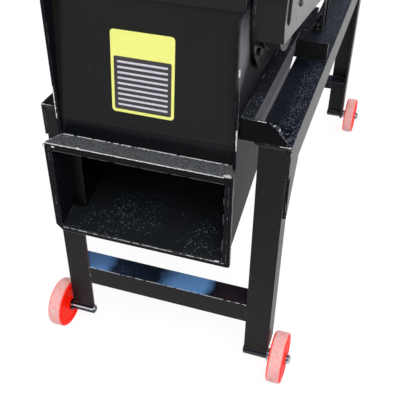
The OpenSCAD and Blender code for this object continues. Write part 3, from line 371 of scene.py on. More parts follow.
def cast(name):
    """Painted grey iron with a rough grain, rubbed on its edges"""
    m = Net(name)
    m.b.inputs["Specular IOR Level"].default_value = 0.3
    grain = m.noise(700.0, 4.0, 0.6)
    tone = m.mix(m.noise(20.0, 4.0, 0.6), (30, 30, 32), (44, 44, 47))
    bare = m.rise(m.times(m.edge(0.0012), m.noise(90.0, 4.0, 0.7)), 0.04, 0.14)
    m.surface(m.mix(m.times(bare, 0.45), tone, (120, 120, 120)), m.ramp(grain, [(0.3, 0.32), (0.7, 0.5)]),
              m.bump(grain, 0.25, 0.0005, m.bump(m.noise(120.0, 3.0, 0.6), 0.3, 0.0012)))
    return m


def metal(name, a, c, rough, spots, brush=(1, 1, 1), stain_tone=(105, 100, 92)):
    """Bare or plated steel with fine brush lines and stains"""
    m = Net(name)
    m.b.inputs["Metallic"].default_value = 1.0
    lines = m.noise(500.0, 3.0, 0.6, 0.0, m.stretched(brush))
    stain = m.rise(m.noise(130.0, 5.0, 0.7), 0.56, 0.68)
    tone = m.mix(m.noise(60.0, 4.0, 0.65), a, c)
    shine = m.plus(m.plus(m.times(lines, 0.16), rough), m.times(stain, 0.15))
    m.surface(m.mix(m.times(stain, spots), tone, stain_tone), shine,
              m.bump(lines, 0.12, 0.0003, m.bump(m.noise(90.0, 2.0), 0.08, 0.001)))
    return m


def dull(name, a, c, rough=0.5, metallic=0.0, grain=900.0, bumps=0.4):
    """Worn bare steel, rust or weld scale"""
    m = Net(name)
    m.b.inputs["Metallic"].default_value = metallic
    m.b.inputs["Specular IOR Level"].default_value = 0.4
    m.surface(m.mix(m.noise(grain * 0.6, 4.0, 0.7), a, c),
              m.plus(m.times(m.noise(grain, 2.0), 0.3), rough - 0.15),
              m.bump(m.noise(grain, 3.0), bumps, 0.0004))
    return m


def wheel_red(name):
    """Red moulded plastic with a little painted glow, and a painted pale highlight on the tread"""
    m = Net(name)
    b = m.b
    tread = m.fall(m.math("ABSOLUTE", m.normal()[0]), 0.15, 0.80)
    mottle = m.noise(160.0, 4.0, 0.65)
    # painted highlight: a pale mottled tone on the tread stands in for its glossy reflection
    tread_glare = m.times(tread, m.ramp(mottle, [(0.30, 0.66), (0.60, 1.0)]))
    body = m.mix(m.noise(45.0, 3.0), (254, 18, 4), (255, 36, 12))
    m.surface(m.mix(m.times(tread_glare, 0.92), body, (246, 204, 200)), m.plus(m.times(tread_glare, 0.20), 0.34),
              m.bump(mottle, 0.18, 0.0012, m.bump(m.noise(900.0, 2.0), 0.08, 0.0003)))
    b.inputs["IOR"].default_value = 1.12
    # painted light: the red glows, less on the tread, brightening it beyond what the lamps give
    m.link(body, b.inputs["Emission Color"])
    m.link(m.minus(0.30, m.times(tread, 0.26)), b.inputs["Emission Strength"])
    b.inputs["Subsurface Weight"].default_value = 0.35
    b.inputs["Subsurface Radius"].default_value = (0.02, 0.004, 0.003)
    b.inputs["Subsurface Scale"].default_value = 0.6
    return m


def rubber(name):
    m = Net(name)
    m.surface(m.mix(m.noise(80.0, 4.0), (22, 22, 23), (38, 38, 39)),
              m.ramp(m.noise(300.0, 3.0), [(0.3, 0.55), (0.7, 0.75)]),
              m.bump(m.noise(1500.0, 2.0), 0.3, 0.0003))
    return m


def plastic(name):
    m = Net(name)
    m.b.inputs["Specular IOR Level"].default_value = 0.35
    m.surface(m.mix(m.noise(30.0, 3.0), (26, 26, 28), (35, 35, 37)),
              m.ramp(m.noise(200.0, 3.0), [(0.3, 0.38), (0.7, 0.52)]),
              m.bump(m.cells(1500.0), 0.18, 0.0004))
    return m


def vinyl(name, a, c):
    """Printed film of the decal: faint mottling, small rubbed spots and a soft gloss"""
    m = Net(name)
    m.b.inputs["Specular IOR Level"].default_value = 0.3
    rub_and_sheen = m.rise(m.noise(420.0, 5.0, 0.75), 0.68, 0.76)
    tone = m.mix(m.noise(90.0, 4.0, 0.6), a, c)
    m.surface(m.mix(m.times(rub_and_sheen, 0.35), tone, (120, 118, 110)), m.plus(m.times(rub_and_sheen, 0.3), 0.28),
              m.bump(m.noise(240.0, 2.0), 0.06, 0.0005))
    return m


NETS = [
    paint("powder_black", (24, 24, 25), (33, 33, 34), up=(19, 22, 31)),
    paint("stand_black", (15, 14, 13), (23, 21, 20), speck=1.0, gloss=0.34, field=(0.34, 0.52)),
    paint("rail_black", (14, 13, 15), (22, 20, 23), up=(9, 12, 24), speck=1.0, gloss=0.3,
          field=(0.30, 0.5), cell=520.0, outer=True),
    paint("rim_black", (5, 5, 6), (10, 10, 10), up=(82, 83, 84), speck=0.25, wear=1.0, gloss=0.24,
          level=0.10, field=(0.15, 0.35), grain=0.26),
    plate_coat("plate_black"),
    # deck beam: upright faces painted mid-grey as a painted reflection of the pale surroundings, top a
    # painted navy sky reflection
    paint("deck_black", (100, 100, 105), (110, 110, 115), up=(12, 14, 24), speck=0.6, wear=0.4,
          gloss=0.42, level=0.07),
    side_coat("side_black"),
    paint("bracket_black", (4, 5, 5), (9, 10, 10), speck=0.6, wear=0.6, gloss=0.18, level=0.06),
    paint("inside_black", (4, 4, 4), (8, 9, 9), up=(24, 27, 30), speck=0.42, wear=0.4, gloss=0.3,
          level=0.2, field=(0.50, 0.66)),
    sky_sheen_coat("crossbar_blue"),
    axle_paint("axle_black"),
    cast("cast_black"),
    metal("zinc", (178, 190, 198), (205, 208, 204), 0.20, 0.35),
    metal("ground_steel", (168, 168, 168), (190, 190, 188), 0.22, 0.3, brush=(0.2, 1, 1)),
    metal("dark_steel", (62, 60, 60), (84, 82, 80), 0.3, 0.4, stain_tone=(40, 36, 34)),
    wheel_red("red_wheel"),
    rubber("belt_rubber"),
    plastic("black_plastic"),
    dull("bare_and_highlight_pale", (196, 196, 196), (250, 250, 250)),
    dull("bare_grey", (78, 78, 78), (128, 127, 124)),
    dull("rust", (74, 44, 36), (120, 78, 62), rough=0.7),
    dull("weld_black", (14, 14, 15), (28, 28, 29), rough=0.4, bumps=0.7),
    dull("weld_bright", (176, 176, 172), (236, 236, 232), rough=0.4, metallic=0.3, grain=500.0, bumps=0.8),
    vinyl("decal_yellow", (244, 244, 118), (252, 252, 150)),
    vinyl("decal_dark", (50, 48, 54), (66, 62, 60)),
    vinyl("decal_pale", (196, 190, 204), (232, 226, 236)),
]
MAT = {m.name: m.mat for m in NETS}
SLOT_OF = {s["node"]: s["material_slot"] for s in frame["record"]["subparts"]}
COAT_OF = {"chute_mouth": "rim_black", "side_plate_left": "side_black", "side_plate_right": "side_black",
           "front_brackets": "bracket_black", "deck_beam": "deck_black", "front_plate": "plate_black",
           "chute_floor": "inside_black", "chute_left_wall": "inside_black",
           "front_crossbar": "crossbar_blue", "rear_crossbar": "stand_black", "axle_bolts": "axle_black"}


def look_of(name):
    """The node's own coat, or else the material of its slot"""
    for start, look in (("leg_", "stand_black"), ("rail_", "rail_black")):
        if name.startswith(start):
            return MAT[look]
    return MAT[COAT_OF.get(name, SLOT_OF[name])]


for name, obj in frame["nodes"].items():
    if not obj.material_slots:
        obj.data.materials.append(look_of(name))
    for s in obj.material_slots:
        s.material = look_of(name)


# -------- floor, light, camera
def floor():
    """Pale ground that keeps the shadow and looks near white to the camera and in gloss"""
    bpy.ops.mesh.primitive_plane_add(size=60, location=(0, 0, 0))
    o = bpy.context.object
    o.name = "floor"
    m = Net("floor_pale")
    m.link(m.mix(m.noise(3.0, 3.0), (0.80, 0.80, 0.80, 1), (0.83, 0.83, 0.83, 1)), m.b.inputs["Base Color"])
    m.b.inputs["Roughness"].default_value = 0.9
    m.b.inputs["Specular IOR Level"].default_value = 0.1
    ray = m.node("ShaderNodeLightPath").outputs
    glow = m.node("ShaderNodeEmission")
    glow.inputs["Strength"].default_value = 1.12
    seen = m.larger(m.larger(ray["Is Camera Ray"], ray["Is Glossy Ray"]), ray["Is Transmission Ray"])
    ground = m.blend(m.times(seen, 0.80), m.b.outputs[0], glow.outputs[0])
    m.link(ground, m.t.nodes["Material Output"].inputs["Surface"])
    o.data.materials.append(m.mat)


def lamp(name, place, look, size, power):
    d = bpy.data.lights.new(name, "AREA")
    d.energy = power
    d.size = size
    o = bpy.data.objects.new(name, d)
    bpy.context.collection.objects.link(o)
    o.location = place
    o.rotation_euler = (Vector(look) - Vector(place)).to_track_quat("-Z", "Y").to_euler()


def world():
    """White for the camera; plain for light; for gloss, white low down and dark blue overhead"""
    w = bpy.data.worlds.new("world")
    bpy.context.scene.world = w
    w.use_nodes = True
    t = Tree(w.node_tree)
    soft = w.node_tree.nodes["Background"]
    soft.inputs["Color"].default_value = (0.92, 0.96, 1.0, 1)
    soft.inputs["Strength"].default_value = 0.55
    white = t.node("ShaderNodeBackground")
    white.inputs["Color"].default_value = (1, 1, 1, 1)
    sky = t.node("ShaderNodeBackground")
    height = t.split(t.node("ShaderNodeTexCoord").outputs["Generated"])[2]
    tones = [(0.02, (1, 1, 1, 1)), (0.22, (0.35, 0.40, 0.50, 1)),
             (0.45, (0.05, 0.07, 0.13, 1)), (0.9, (0.10, 0.11, 0.14, 1))]
    t.link(t.ramp(height, tones), sky.inputs["Color"])
    ray = t.node("ShaderNodeLightPath").outputs
    lit = t.blend(ray["Is Glossy Ray"], soft.outputs[0], sky.outputs[0])
    seen = t.larger(ray["Is Camera Ray"], ray["Is Transmission Ray"])
    t.link(t.blend(seen, lit, white.outputs[0]), w.node_tree.nodes["World Output"].inputs["Surface"])


def stage():
    floor()
    world()
    lamp("key", (0.9, -1.6, 2.6), (0, -0.2, 0.4), 1.6, 42)
    lamp("fill", (-2.2, -1.2, 1.6), (0, 0, 0.4), 1.8, 14)
    lamp("back", (1.2, 2.4, 2.2), (0, 0.2, 0.5), 1.6, 22)


FOCAL_PX, PICTURE_PX, SENSOR = 657.1, 400.0, 36.0
EYE = (287.8, -711.5, 909.45)
TURN, TILT, ROLL = 17.934, 37.448, 0.586


def camera():
    """Camera of the photo, solved from the stand's corners and edges"""
    cam = bpy.data.cameras.new("camera")
    cam.sensor_fit = "HORIZONTAL"
    cam.sensor_width = SENSOR
    cam.lens = SENSOR * FOCAL_PX / PICTURE_PX
    o = bpy.data.objects.new("camera", cam)
    bpy.context.collection.objects.link(o)
    o.location = at(*EYE)
    az, el, ro = (math.radians(v) for v in (TURN, TILT, ROLL))
    right = Vector((math.cos(az), math.sin(az), 0))
    ahead = Vector((-math.sin(az) * math.cos(el), math.cos(az) * math.cos(el), -math.sin(el)))
    up = right.cross(ahead)
    rows = (right * math.cos(ro) + up * math.sin(ro), up * math.cos(ro) - right * math.sin(ro), -ahead)
    o.rotation_euler = Matrix(rows).transposed().to_euler()
    bpy.context.scene.camera = o


# -------- mesh helpers, sizes in millimetres
FLATS = 0.866       # half the width across a hexagon's flats, by its corner radius
PITCH = 1.25        # of the threads on the shanks
SKIN = 0.00012      # metres that bare metal stands off the coat


def basis(p, axis, roll=0.0):
    """Matrix at p whose Z runs along axis"""
    z = Vector(axis).normalized()
    x = z.orthogonal().normalized()
    m = Matrix((x, z.cross(x), z)).transposed().to_4x4()
    m.translation = p
    return m @ Matrix.Rotation(roll, 4, "Z")


def polar(m, r, a, h=0.0):
    """Point at angle a and radius r about Z of m, h along it"""
    return m @ mm(r * math.cos(a), r * math.sin(a), h)


def bridge(bm, a, b):
    """Faces between two closed rings of points, one of which may be a single point"""
    for k in range(max(len(a), len(b))):
        q = [a[k % len(a)], a[(k + 1) % len(a)], b[(k + 1) % len(b)], b[k % len(b)]]
        q = list(dict.fromkeys(q))
        if len(q) > 2:
            bm.faces.new(q)


def skin(bm, rings, capped=False):
    """Joins rings in their order, and closes the two ends"""
    for a, b in zip(rings, rings[1:]):
        bridge(bm, a, b)
    if capped:
        bm.faces.new(rings[-1])
        bm.faces.new(rings[0][::-1])


def lathe(bm, m, profile, n=32):
    """Revolves (radius, height) pairs about Z of m"""
    skin(bm, [[bm.verts.new(polar(m, r, math.tau * k / n, h)) for k in range(1 if r < 1e-6 else n)]
              for r, h in profile])


def hex_head(bm, m, r, h, washer=0.0, thick=1.6, shank=0.0):
    """Chamfered hexagon head or nut, on a washer with rounded rims and with a threaded shank end"""
    base = thick if washer else 0.0
    if washer:
        lathe(bm, m, [(0, 0), (washer - 0.3, 0), (washer, 0.3), (washer, thick - 0.4),
                      (washer - 0.4, thick), (0, thick)], 28)
    # radii and heights at the corners and at the middles of the flats
    rows = [(r, FLATS * r, 0, 0), (r, FLATS * r, 0.68 * h, 0.86 * h), (0.8 * r, 0.8 * r, h, h),
            (0.66 * r, 0.66 * r, h, h), (0.60 * r, 0.60 * r, 0.93 * h, 0.93 * h)]
    skin(bm, [[bm.verts.new(polar(m, row[k % 2], math.tau * k / 12, base + row[2 + k % 2]))
               for k in range(12)] for row in rows], capped=True)
    if shank:
        z = base + h * 0.9
        profile = [(0, z)]
        while z < base + h + shank:
            profile += [(0.50 * r, z), (0.56 * r, z + PITCH / 2)]
            z += PITCH
        lathe(bm, m, profile + [(0.42 * r, z + 0.5), (0, z + 0.5)], 20)


def pan_head(bm, m, r, h):
    """Low domed screw head with a cross slot"""
    lathe(bm, m, [(0, 0), (r, 0), (r, 0.3 * h), (0.86 * r, 0.75 * h), (0.55 * r, h), (0.34 * r, h),
                  (0.20 * r, 0.45 * h), (0, 0.35 * h)], 20)
    for k in range(4):
        d = Matrix.Rotation(math.radians(45 + 90 * k), 4, "Z")
        arm = ((0.3, 0.05), (0.62, 0.05), (0.62, -0.05), (0.3, -0.05))
        bm.faces.new([bm.verts.new(m @ d @ mm(r * u, r * v, 1.02 * h)) for u, v in arm])


def sweep(bm, pts, radii, sides=8, squash=1.0, up=None, closed=False):
    """Tube along pts; radii is one number or one per point"""
    n = len(pts)
    rings = []
    side = None
    for i, p in enumerate(pts):
        if closed:
            d = (pts[(i + 1) % n] - pts[i - 1]).normalized()
        else:
            d = (pts[min(i + 1, n - 1)] - pts[max(i - 1, 0)]).normalized()
        if up is not None:
            v = (up - d * up.dot(d)).normalized()
            side = d.cross(v)
        else:
            side = (side - d * side.dot(d)).normalized() if side else d.orthogonal().normalized()
            v = side.cross(d)
        r = radii[i] if isinstance(radii, list) else radii
        rings.append([bm.verts.new(p + (side * math.cos(math.tau * k / sides)
                                        + v * squash * math.sin(math.tau * k / sides)) * r / 1000)
                      for k in range(sides)])
    skin(bm, rings)
    if closed:
        bridge(bm, rings[-1], rings[0])
    else:
        bm.faces.new(rings[0][::-1])
        bm.faces.new(rings[-1])


def swage(bm, pts, r, tip, sides, squash, up=None):
    """Raised bead along pts that runs out at both ends"""
    sweep(bm, pts, [tip] + [r] * (len(pts) - 2) + [tip], sides, squash, up)


def ripple(s):
    """Swell of a weld's overlapping drops"""
    return 0.86 + 0.20 * abs(math.sin(s)) ** 0.6


def weld(bm, p0, p1, r=2.6, wave=3.2):
    """Bead of overlapping ripples between two points, lumpy and tapered at its ends"""
    length = (p1 - p0).length * 1000
    n = max(4, int(length / 0.8))
    pts, rad = [], []
    for i in range(n + 1):
        s = length * i / n
        end = min(1.0, 0.35 + min(s, length - s) / (1.5 * r))
        rad.append(r * end * ripple(math.pi * s / wave) * rnd.uniform(0.95, 1.05))
        lump = Vector([rnd.uniform(-1, 1) for _ in range(3)]) * 0.00014 * r
        pts.append(p0.lerp(p1, i / n) + lump)
    sweep(bm, pts, rad, 9)


def ring_weld(bm, centre, axis, radius, r=2.2):
    """Closed bead round a rod's foot"""
    m = basis(centre, axis)
    n = int(math.tau * radius / 0.9)
    turns = [math.tau * k / n for k in range(n)]
    rad = [r * ripple(radius * a * math.pi / 3.0) * rnd.uniform(0.95, 1.05) for a in turns]
    sweep(bm, [polar(m, radius, a) for a in turns], rad, 8, closed=True)


def worn(bm, p0, p1, n1, n2, w=1.2, fill=0.6, run=4.0, step=1.0):
    """Ragged folded ribbon of bare metal over the edge p0-p1 where faces of normals n1 and n2 meet.
    w: its width; fill: the share of the edge that is bare; run: length of the bare runs"""
    d = (p1 - p0).normalized()
    length = (p1 - p0).length * 1000
    n1, n2 = Vector(n1).normalized(), Vector(n2).normalized()
    ta = (n2 - n1 * n1.dot(n2)).normalized()
    tb = (n1 - n2 * n1.dot(n2)).normalized()
    s, on, left = 0.0, rnd.random() < fill, rnd.uniform(0.3, 1.5) * run
    row = None
    while s <= length:
        if on:
            a = w * rnd.uniform(0.25, 1.0) / 1000
            b = w * rnd.uniform(0.25, 1.0) / 1000
            p = p0 + d * s / 1000
            new = [bm.verts.new(v) for v in (p - ta * a + n1 * SKIN, p + (n1 + n2) * SKIN,
                                             p - tb * b + n2 * SKIN)]
            if row:
                for k in (0, 1):
                    bm.faces.new([row[k], row[k + 1], new[k + 1], new[k]])
            row = new
        else:
            row = None
        s += step
        left -= step
        if left < 0:
            on = rnd.random() < fill
            left = rnd.uniform(0.3, 1.5) * run
            row = row if on else None


def chip(bm, p, normal, r):
    """Irregular flake of missing paint"""
    m = basis(p + Vector(normal) * 0.0001, normal, rnd.uniform(0, 6))
    k = rnd.randint(5, 8)
    bm.faces.new([bm.verts.new(m @ mm(r * rnd.uniform(0.5, 1.4) * math.cos(math.tau * i / k),
                                      r * rnd.uniform(0.4, 1.0) * math.sin(math.tau * i / k), 0))
                  for i in range(k)])


def pad(bm, m, w, d, h, cut=0.8, corner=2.0):
    """Rounded-corner slab with a chamfered top, its foot at m"""
    def ring(inset, z):
        out = []
        r = max(corner - inset, 0.2)
        x, y = w / 2 - corner, d / 2 - corner
        for cx, cy, a0 in ((x, y, 0), (-x, y, 90), (-x, -y, 180), (x, -y, 270)):
            for k in range(5):
                a = math.radians(a0 + 22.5 * k)
                out.append(bm.verts.new(m @ mm(cx + r * math.cos(a), cy + r * math.sin(a), z)))
        return out
    skin(bm, [ring(0, 0), ring(0, h - cut), ring(cut, h)], capped=True)


def piece(name, bm, mat, body="frame", replaces=(), smooth=35):
    """Makes a piece of the part from bm, which rides on a body"""
    me = bpy.data.meshes.new(name)
    bmesh.ops.recalc_face_normals(bm, faces=bm.faces)
    bm.to_mesh(me)
    bm.free()
    me.shade_smooth()
    me.set_sharp_from_angle(angle=math.radians(smooth))
    me.materials.append(MAT[mat])
    o = bpy.data.objects.new(name, me)
    bpy.context.collection.objects.link(o)
    if replaces:
        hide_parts(*replaces)
    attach(o, body)
    return o


# -------- bolts, nuts and screws
def replaced_bolts():
    """Formed bolts in place of the plain ones of three nodes"""
    bm = bmesh.new()
    for x, y, r, h, washer in ((152, 22, 9, 8, 11), (156, 286, 7.5, 5.5, 10.5)):
        hex_head(bm, basis(at(x, y, RAIL + 3), Z, 0.3), r, h, washer, 1.8)
        hex_head(bm, basis(at(x, y, RAIL - 4), -Z, 0.8), r * 0.9, 6, washer, 1.6, 3)
        lathe(bm, basis(at(x, y, RAIL - 4.5), Z), [(0, 0), (4.0, 0), (4.0, 8), (0, 8)], 20)
    piece("frame_bolt_set", bm, "zinc", replaces=("frame_bolts",))

    # four bolts at each bearing, then the bed knife's socket screws
    bm = bmesh.new()
    for x, ax in ((LEFT - 10, -1), (RIGHT + 10, 1)):
        for sy, sz in ((-1, -1), (-1, 1), (1, -1), (1, 1)):
            p = at(x, CUT_Y + 28 * sy, CUT_Z + 28 * sz)
            hex_head(bm, basis(p, X * ax, rnd.random()), 6.2, 4.4, 8.2, 1.2)
    for i in range(4):
        m = basis(at(-117 + i * 190 / 3.0, 223, 596), Z, i)
        lathe(bm, m, [(0, 0), (4, 0), (4, 6.2), (3.9, 8.8), (2.3, 8.9), (2.2, 5.5), (0, 5.2)], 24)
    piece("machine_bolt_set", bm, "zinc", replaces=("machine_bolts",))

    # three bolts on each blade's slanting face
    bm = bmesh.new()
    for k in range(4):
        a = math.radians(90 * k)
        c, s = math.cos(a), math.sin(a)
        u, v = 72.08 * c + 6.11 * s, 72.08 * s - 6.11 * c
        out = (0, 0.848 * c + 0.5299 * s, 0.848 * s - 0.5299 * c)
        for x in (-136, -22, 92):
            hex_head(bm, basis(at(x, CUT_Y + u, CUT_Z + v), out, 0.2 * k), 6.4, 4.0)
    piece("blade_bolt_set", bm, "zinc", "cutter", ("blade_bolts",))


def small_screws():
    bm = bmesh.new()

    def screws(points, axis, r, h):
        for p in points:
            pan_head(bm, basis(p, axis, rnd.random()), r, h)

    def nuts(points, axis, *sizes):
        for p in points:
            hex_head(bm, basis(p, axis, rnd.random()), *sizes)

    def quarter(k):
        return math.radians(45 + 90 * k)

    # gear cover, then the belt guard's bracket and face
    screws([about(GEAR_X, FEED_Y, FEED_Z, 121, math.radians(a)) for a in (40, 85, 130, 215, 262, 318)],
           -X, 4.6, 2.6)
    for a in (150, 215):
        pan_head(bm, basis(about(GEAR_X, CUT_Y, CUT_Z, 24, math.radians(a)), -X), 4.6, 2.6)
    nuts([at(143, y, RAIL + 3) for y in (394, 440)], Z, 5.5, 4, 8, 1.2)
    screws([at(GUARD_X, y, z) for y, z in ((60, 668), (176, 668), (118, 688), (300, 622), (436, 560),
                                           (118, 596), (415, 520))], X, 4.6, 2.6)
    # motor: terminal box, end shield, fan cover, feet
    screws([at(x, 535, z) for x in (-47.5, 16.5) for z in (536, 572)], Y, 3.6, 2.2)
    nuts([about(82.8, MOTOR_Y, MOTOR_Z, 57, quarter(k)) for k in range(4)], X, 4.6, 3.6, 6.0, 1.0)
    for k in range(3):
        d = outward(math.radians(30 + 120 * k))
        pan_head(bm, basis(at(-109, MOTOR_Y, MOTOR_Z) + d * 0.0658, d, 0.4 * k), 3.6, 2.2)
    nuts([at(x, MOTOR_Y + y, 459) for x in FOOT_X for y in (-68, 68)], Z, 5.6, 4.4, 8, 1.4, 2)
    # trough's feet and walls, then the lugs: the left screw is sunk in its plate, the right one 3 mm off
    screws([at(x, y, 608) for x in SPRING_X for y in (802, 818)], Z, 4.2, 2.0)
    for x, ax in TROUGH_X:
        screws([at(x, y, 616) for y in (330, 480, 630, 780, 930)], X * ax, 3.6, 2.0)
    for x, ax in ((LEFT + 2, -1), (RIGHT + 3, 1)):
        pan_head(bm, basis(at(x, FEED_Y + 17, 690), X * ax), 3.2, 1.6)
    piece("small_screws", bm, "dark_steel")


# -------- welds
def welds():
    bm = bmesh.new()
    # at each leg: under the rail, between both (hidden), crossbar's end and top, round the foot
    leg = (((138, 1, RAIL - 4.3), (174, 1, RAIL - 4.3), 2.0),
           ((LEG_X - 0.6, 5, RAIL - 12), (LEG_X - 0.6, 38, RAIL - 12), 2.2),
           ((137.4, 4.6, 116), (137.4, 4.6, 143), 2.4),
           ((168, 8, 147), (138, 5, 147), 2.2),
           ((139, 5.5, 49.8), (175, 6.5, 49.6), 2.6))
    for sx in (-1, 1):
        for y0, sy in ((0, 1), (REAR, -1)):
            for p0, p1, r in leg:
                weld(bm, *(at(sx * x, y0 + sy * y, z) for x, y, z in (p0, p1)), r)
    # side plates on the rails, deck beam, chute walls
    beads = [((x, y, 451), (x, y + 22, 451), 2.2)
             for x, ys in ((LEFT - 0.6, (20, 75, 200)), (RIGHT + 0.6, (200,))) for y in ys]
    beads += [((RIGHT + 0.5, y, 482.6), (RIGHT + 0.5, y + 20, 482.6), 2.0) for y in (30, 110, 190, 262)]
    beads += [((RIGHT + 1, 3.6, 455), (RIGHT + 1, 3.6, 480), 2.0)]
    beads += [((x, -35.4, z0), (x, -35.4, z1), 2.2)
              for x in (LEFT - 1.5, RIGHT + 1.5) for z0, z1 in ((270, 300), (350, 396))]
    # trough's wall, its supports' feet, the motor's base, the lugs and the knife's beam
    beads += [((-148, y, 606), (-148, y + 26, 606), 1.6) for y in (300, 470, 640, 810)]
    beads += [((x - 8, y, 451), (x + 8, y, 451), 2.2) for y in (798, 822) for x in (-129, 85)]
    beads += [((x, y, 452.4), (x + 30, y, 452.4), 2.0) for x in (-100, 20) for y in (341, 489)]
    beads += [((x, FEED_Y - 22, 741.5), (x, FEED_Y + 22, 741.5), 1.8) for x in (LEFT + 3, RIGHT - 3)]
    beads += [((x + 2, 229.6, 683), (x + 30, 229.6, 683), 1.8) for x in (-119, 43)]
    for p0, p1, r in beads:
        weld(bm, at(*p0), at(*p1), r)
    piece("weld_beads", bm, "weld_black", smooth=60)

    bm = bmesh.new()
    for p0, p1, r, wave in (((101, -36.2, 413.6), (112.6, -38.2, 413.2), 2.6, 2.4),
                            ((113.5, -39.0, 411), (114.2, -39.0, 404), 1.9, 2.2),
                            ((105, -33, 412.8), (111, -34, 412.6), 1.9, 2.0),
                            ((-161.2, -39.0, 412), (-161.4, -39.0, 407.0), 1.9, 2.0),
                            ((-110, -39.6, 414), (-105, -39.8, 413.6), 1.5, 2.0),
                            ((93, -40.2, 265.2), (101, -40.2, 265.0), 1.5, 2.2)):
        weld(bm, at(*p0), at(*p1), r, wave)
    chip(bm, at(-161, RIM_Y, 409.4), -Y, 2.8)
    chip(bm, at(-146, RIM_Y, 409.6), -Y, 2.6)
    piece("rim_corner_weld", bm, "weld_bright", smooth=60)

    bm = bmesh.new()
    d = outward(math.radians(118))
    for x in (-68, 24):
        ring_weld(bm, at(x, CUT_Y, CUT_Z) + d * (HOOD_R / 1000), d, 5.4, 1.8)
        ring_weld(bm, at(x, CUT_Y, CUT_Z) + d * (GRIP_R / 1000), d, 4.6, 1.2)
    piece("hood_handle_welds", bm, "weld_black", "hood", smooth=60)


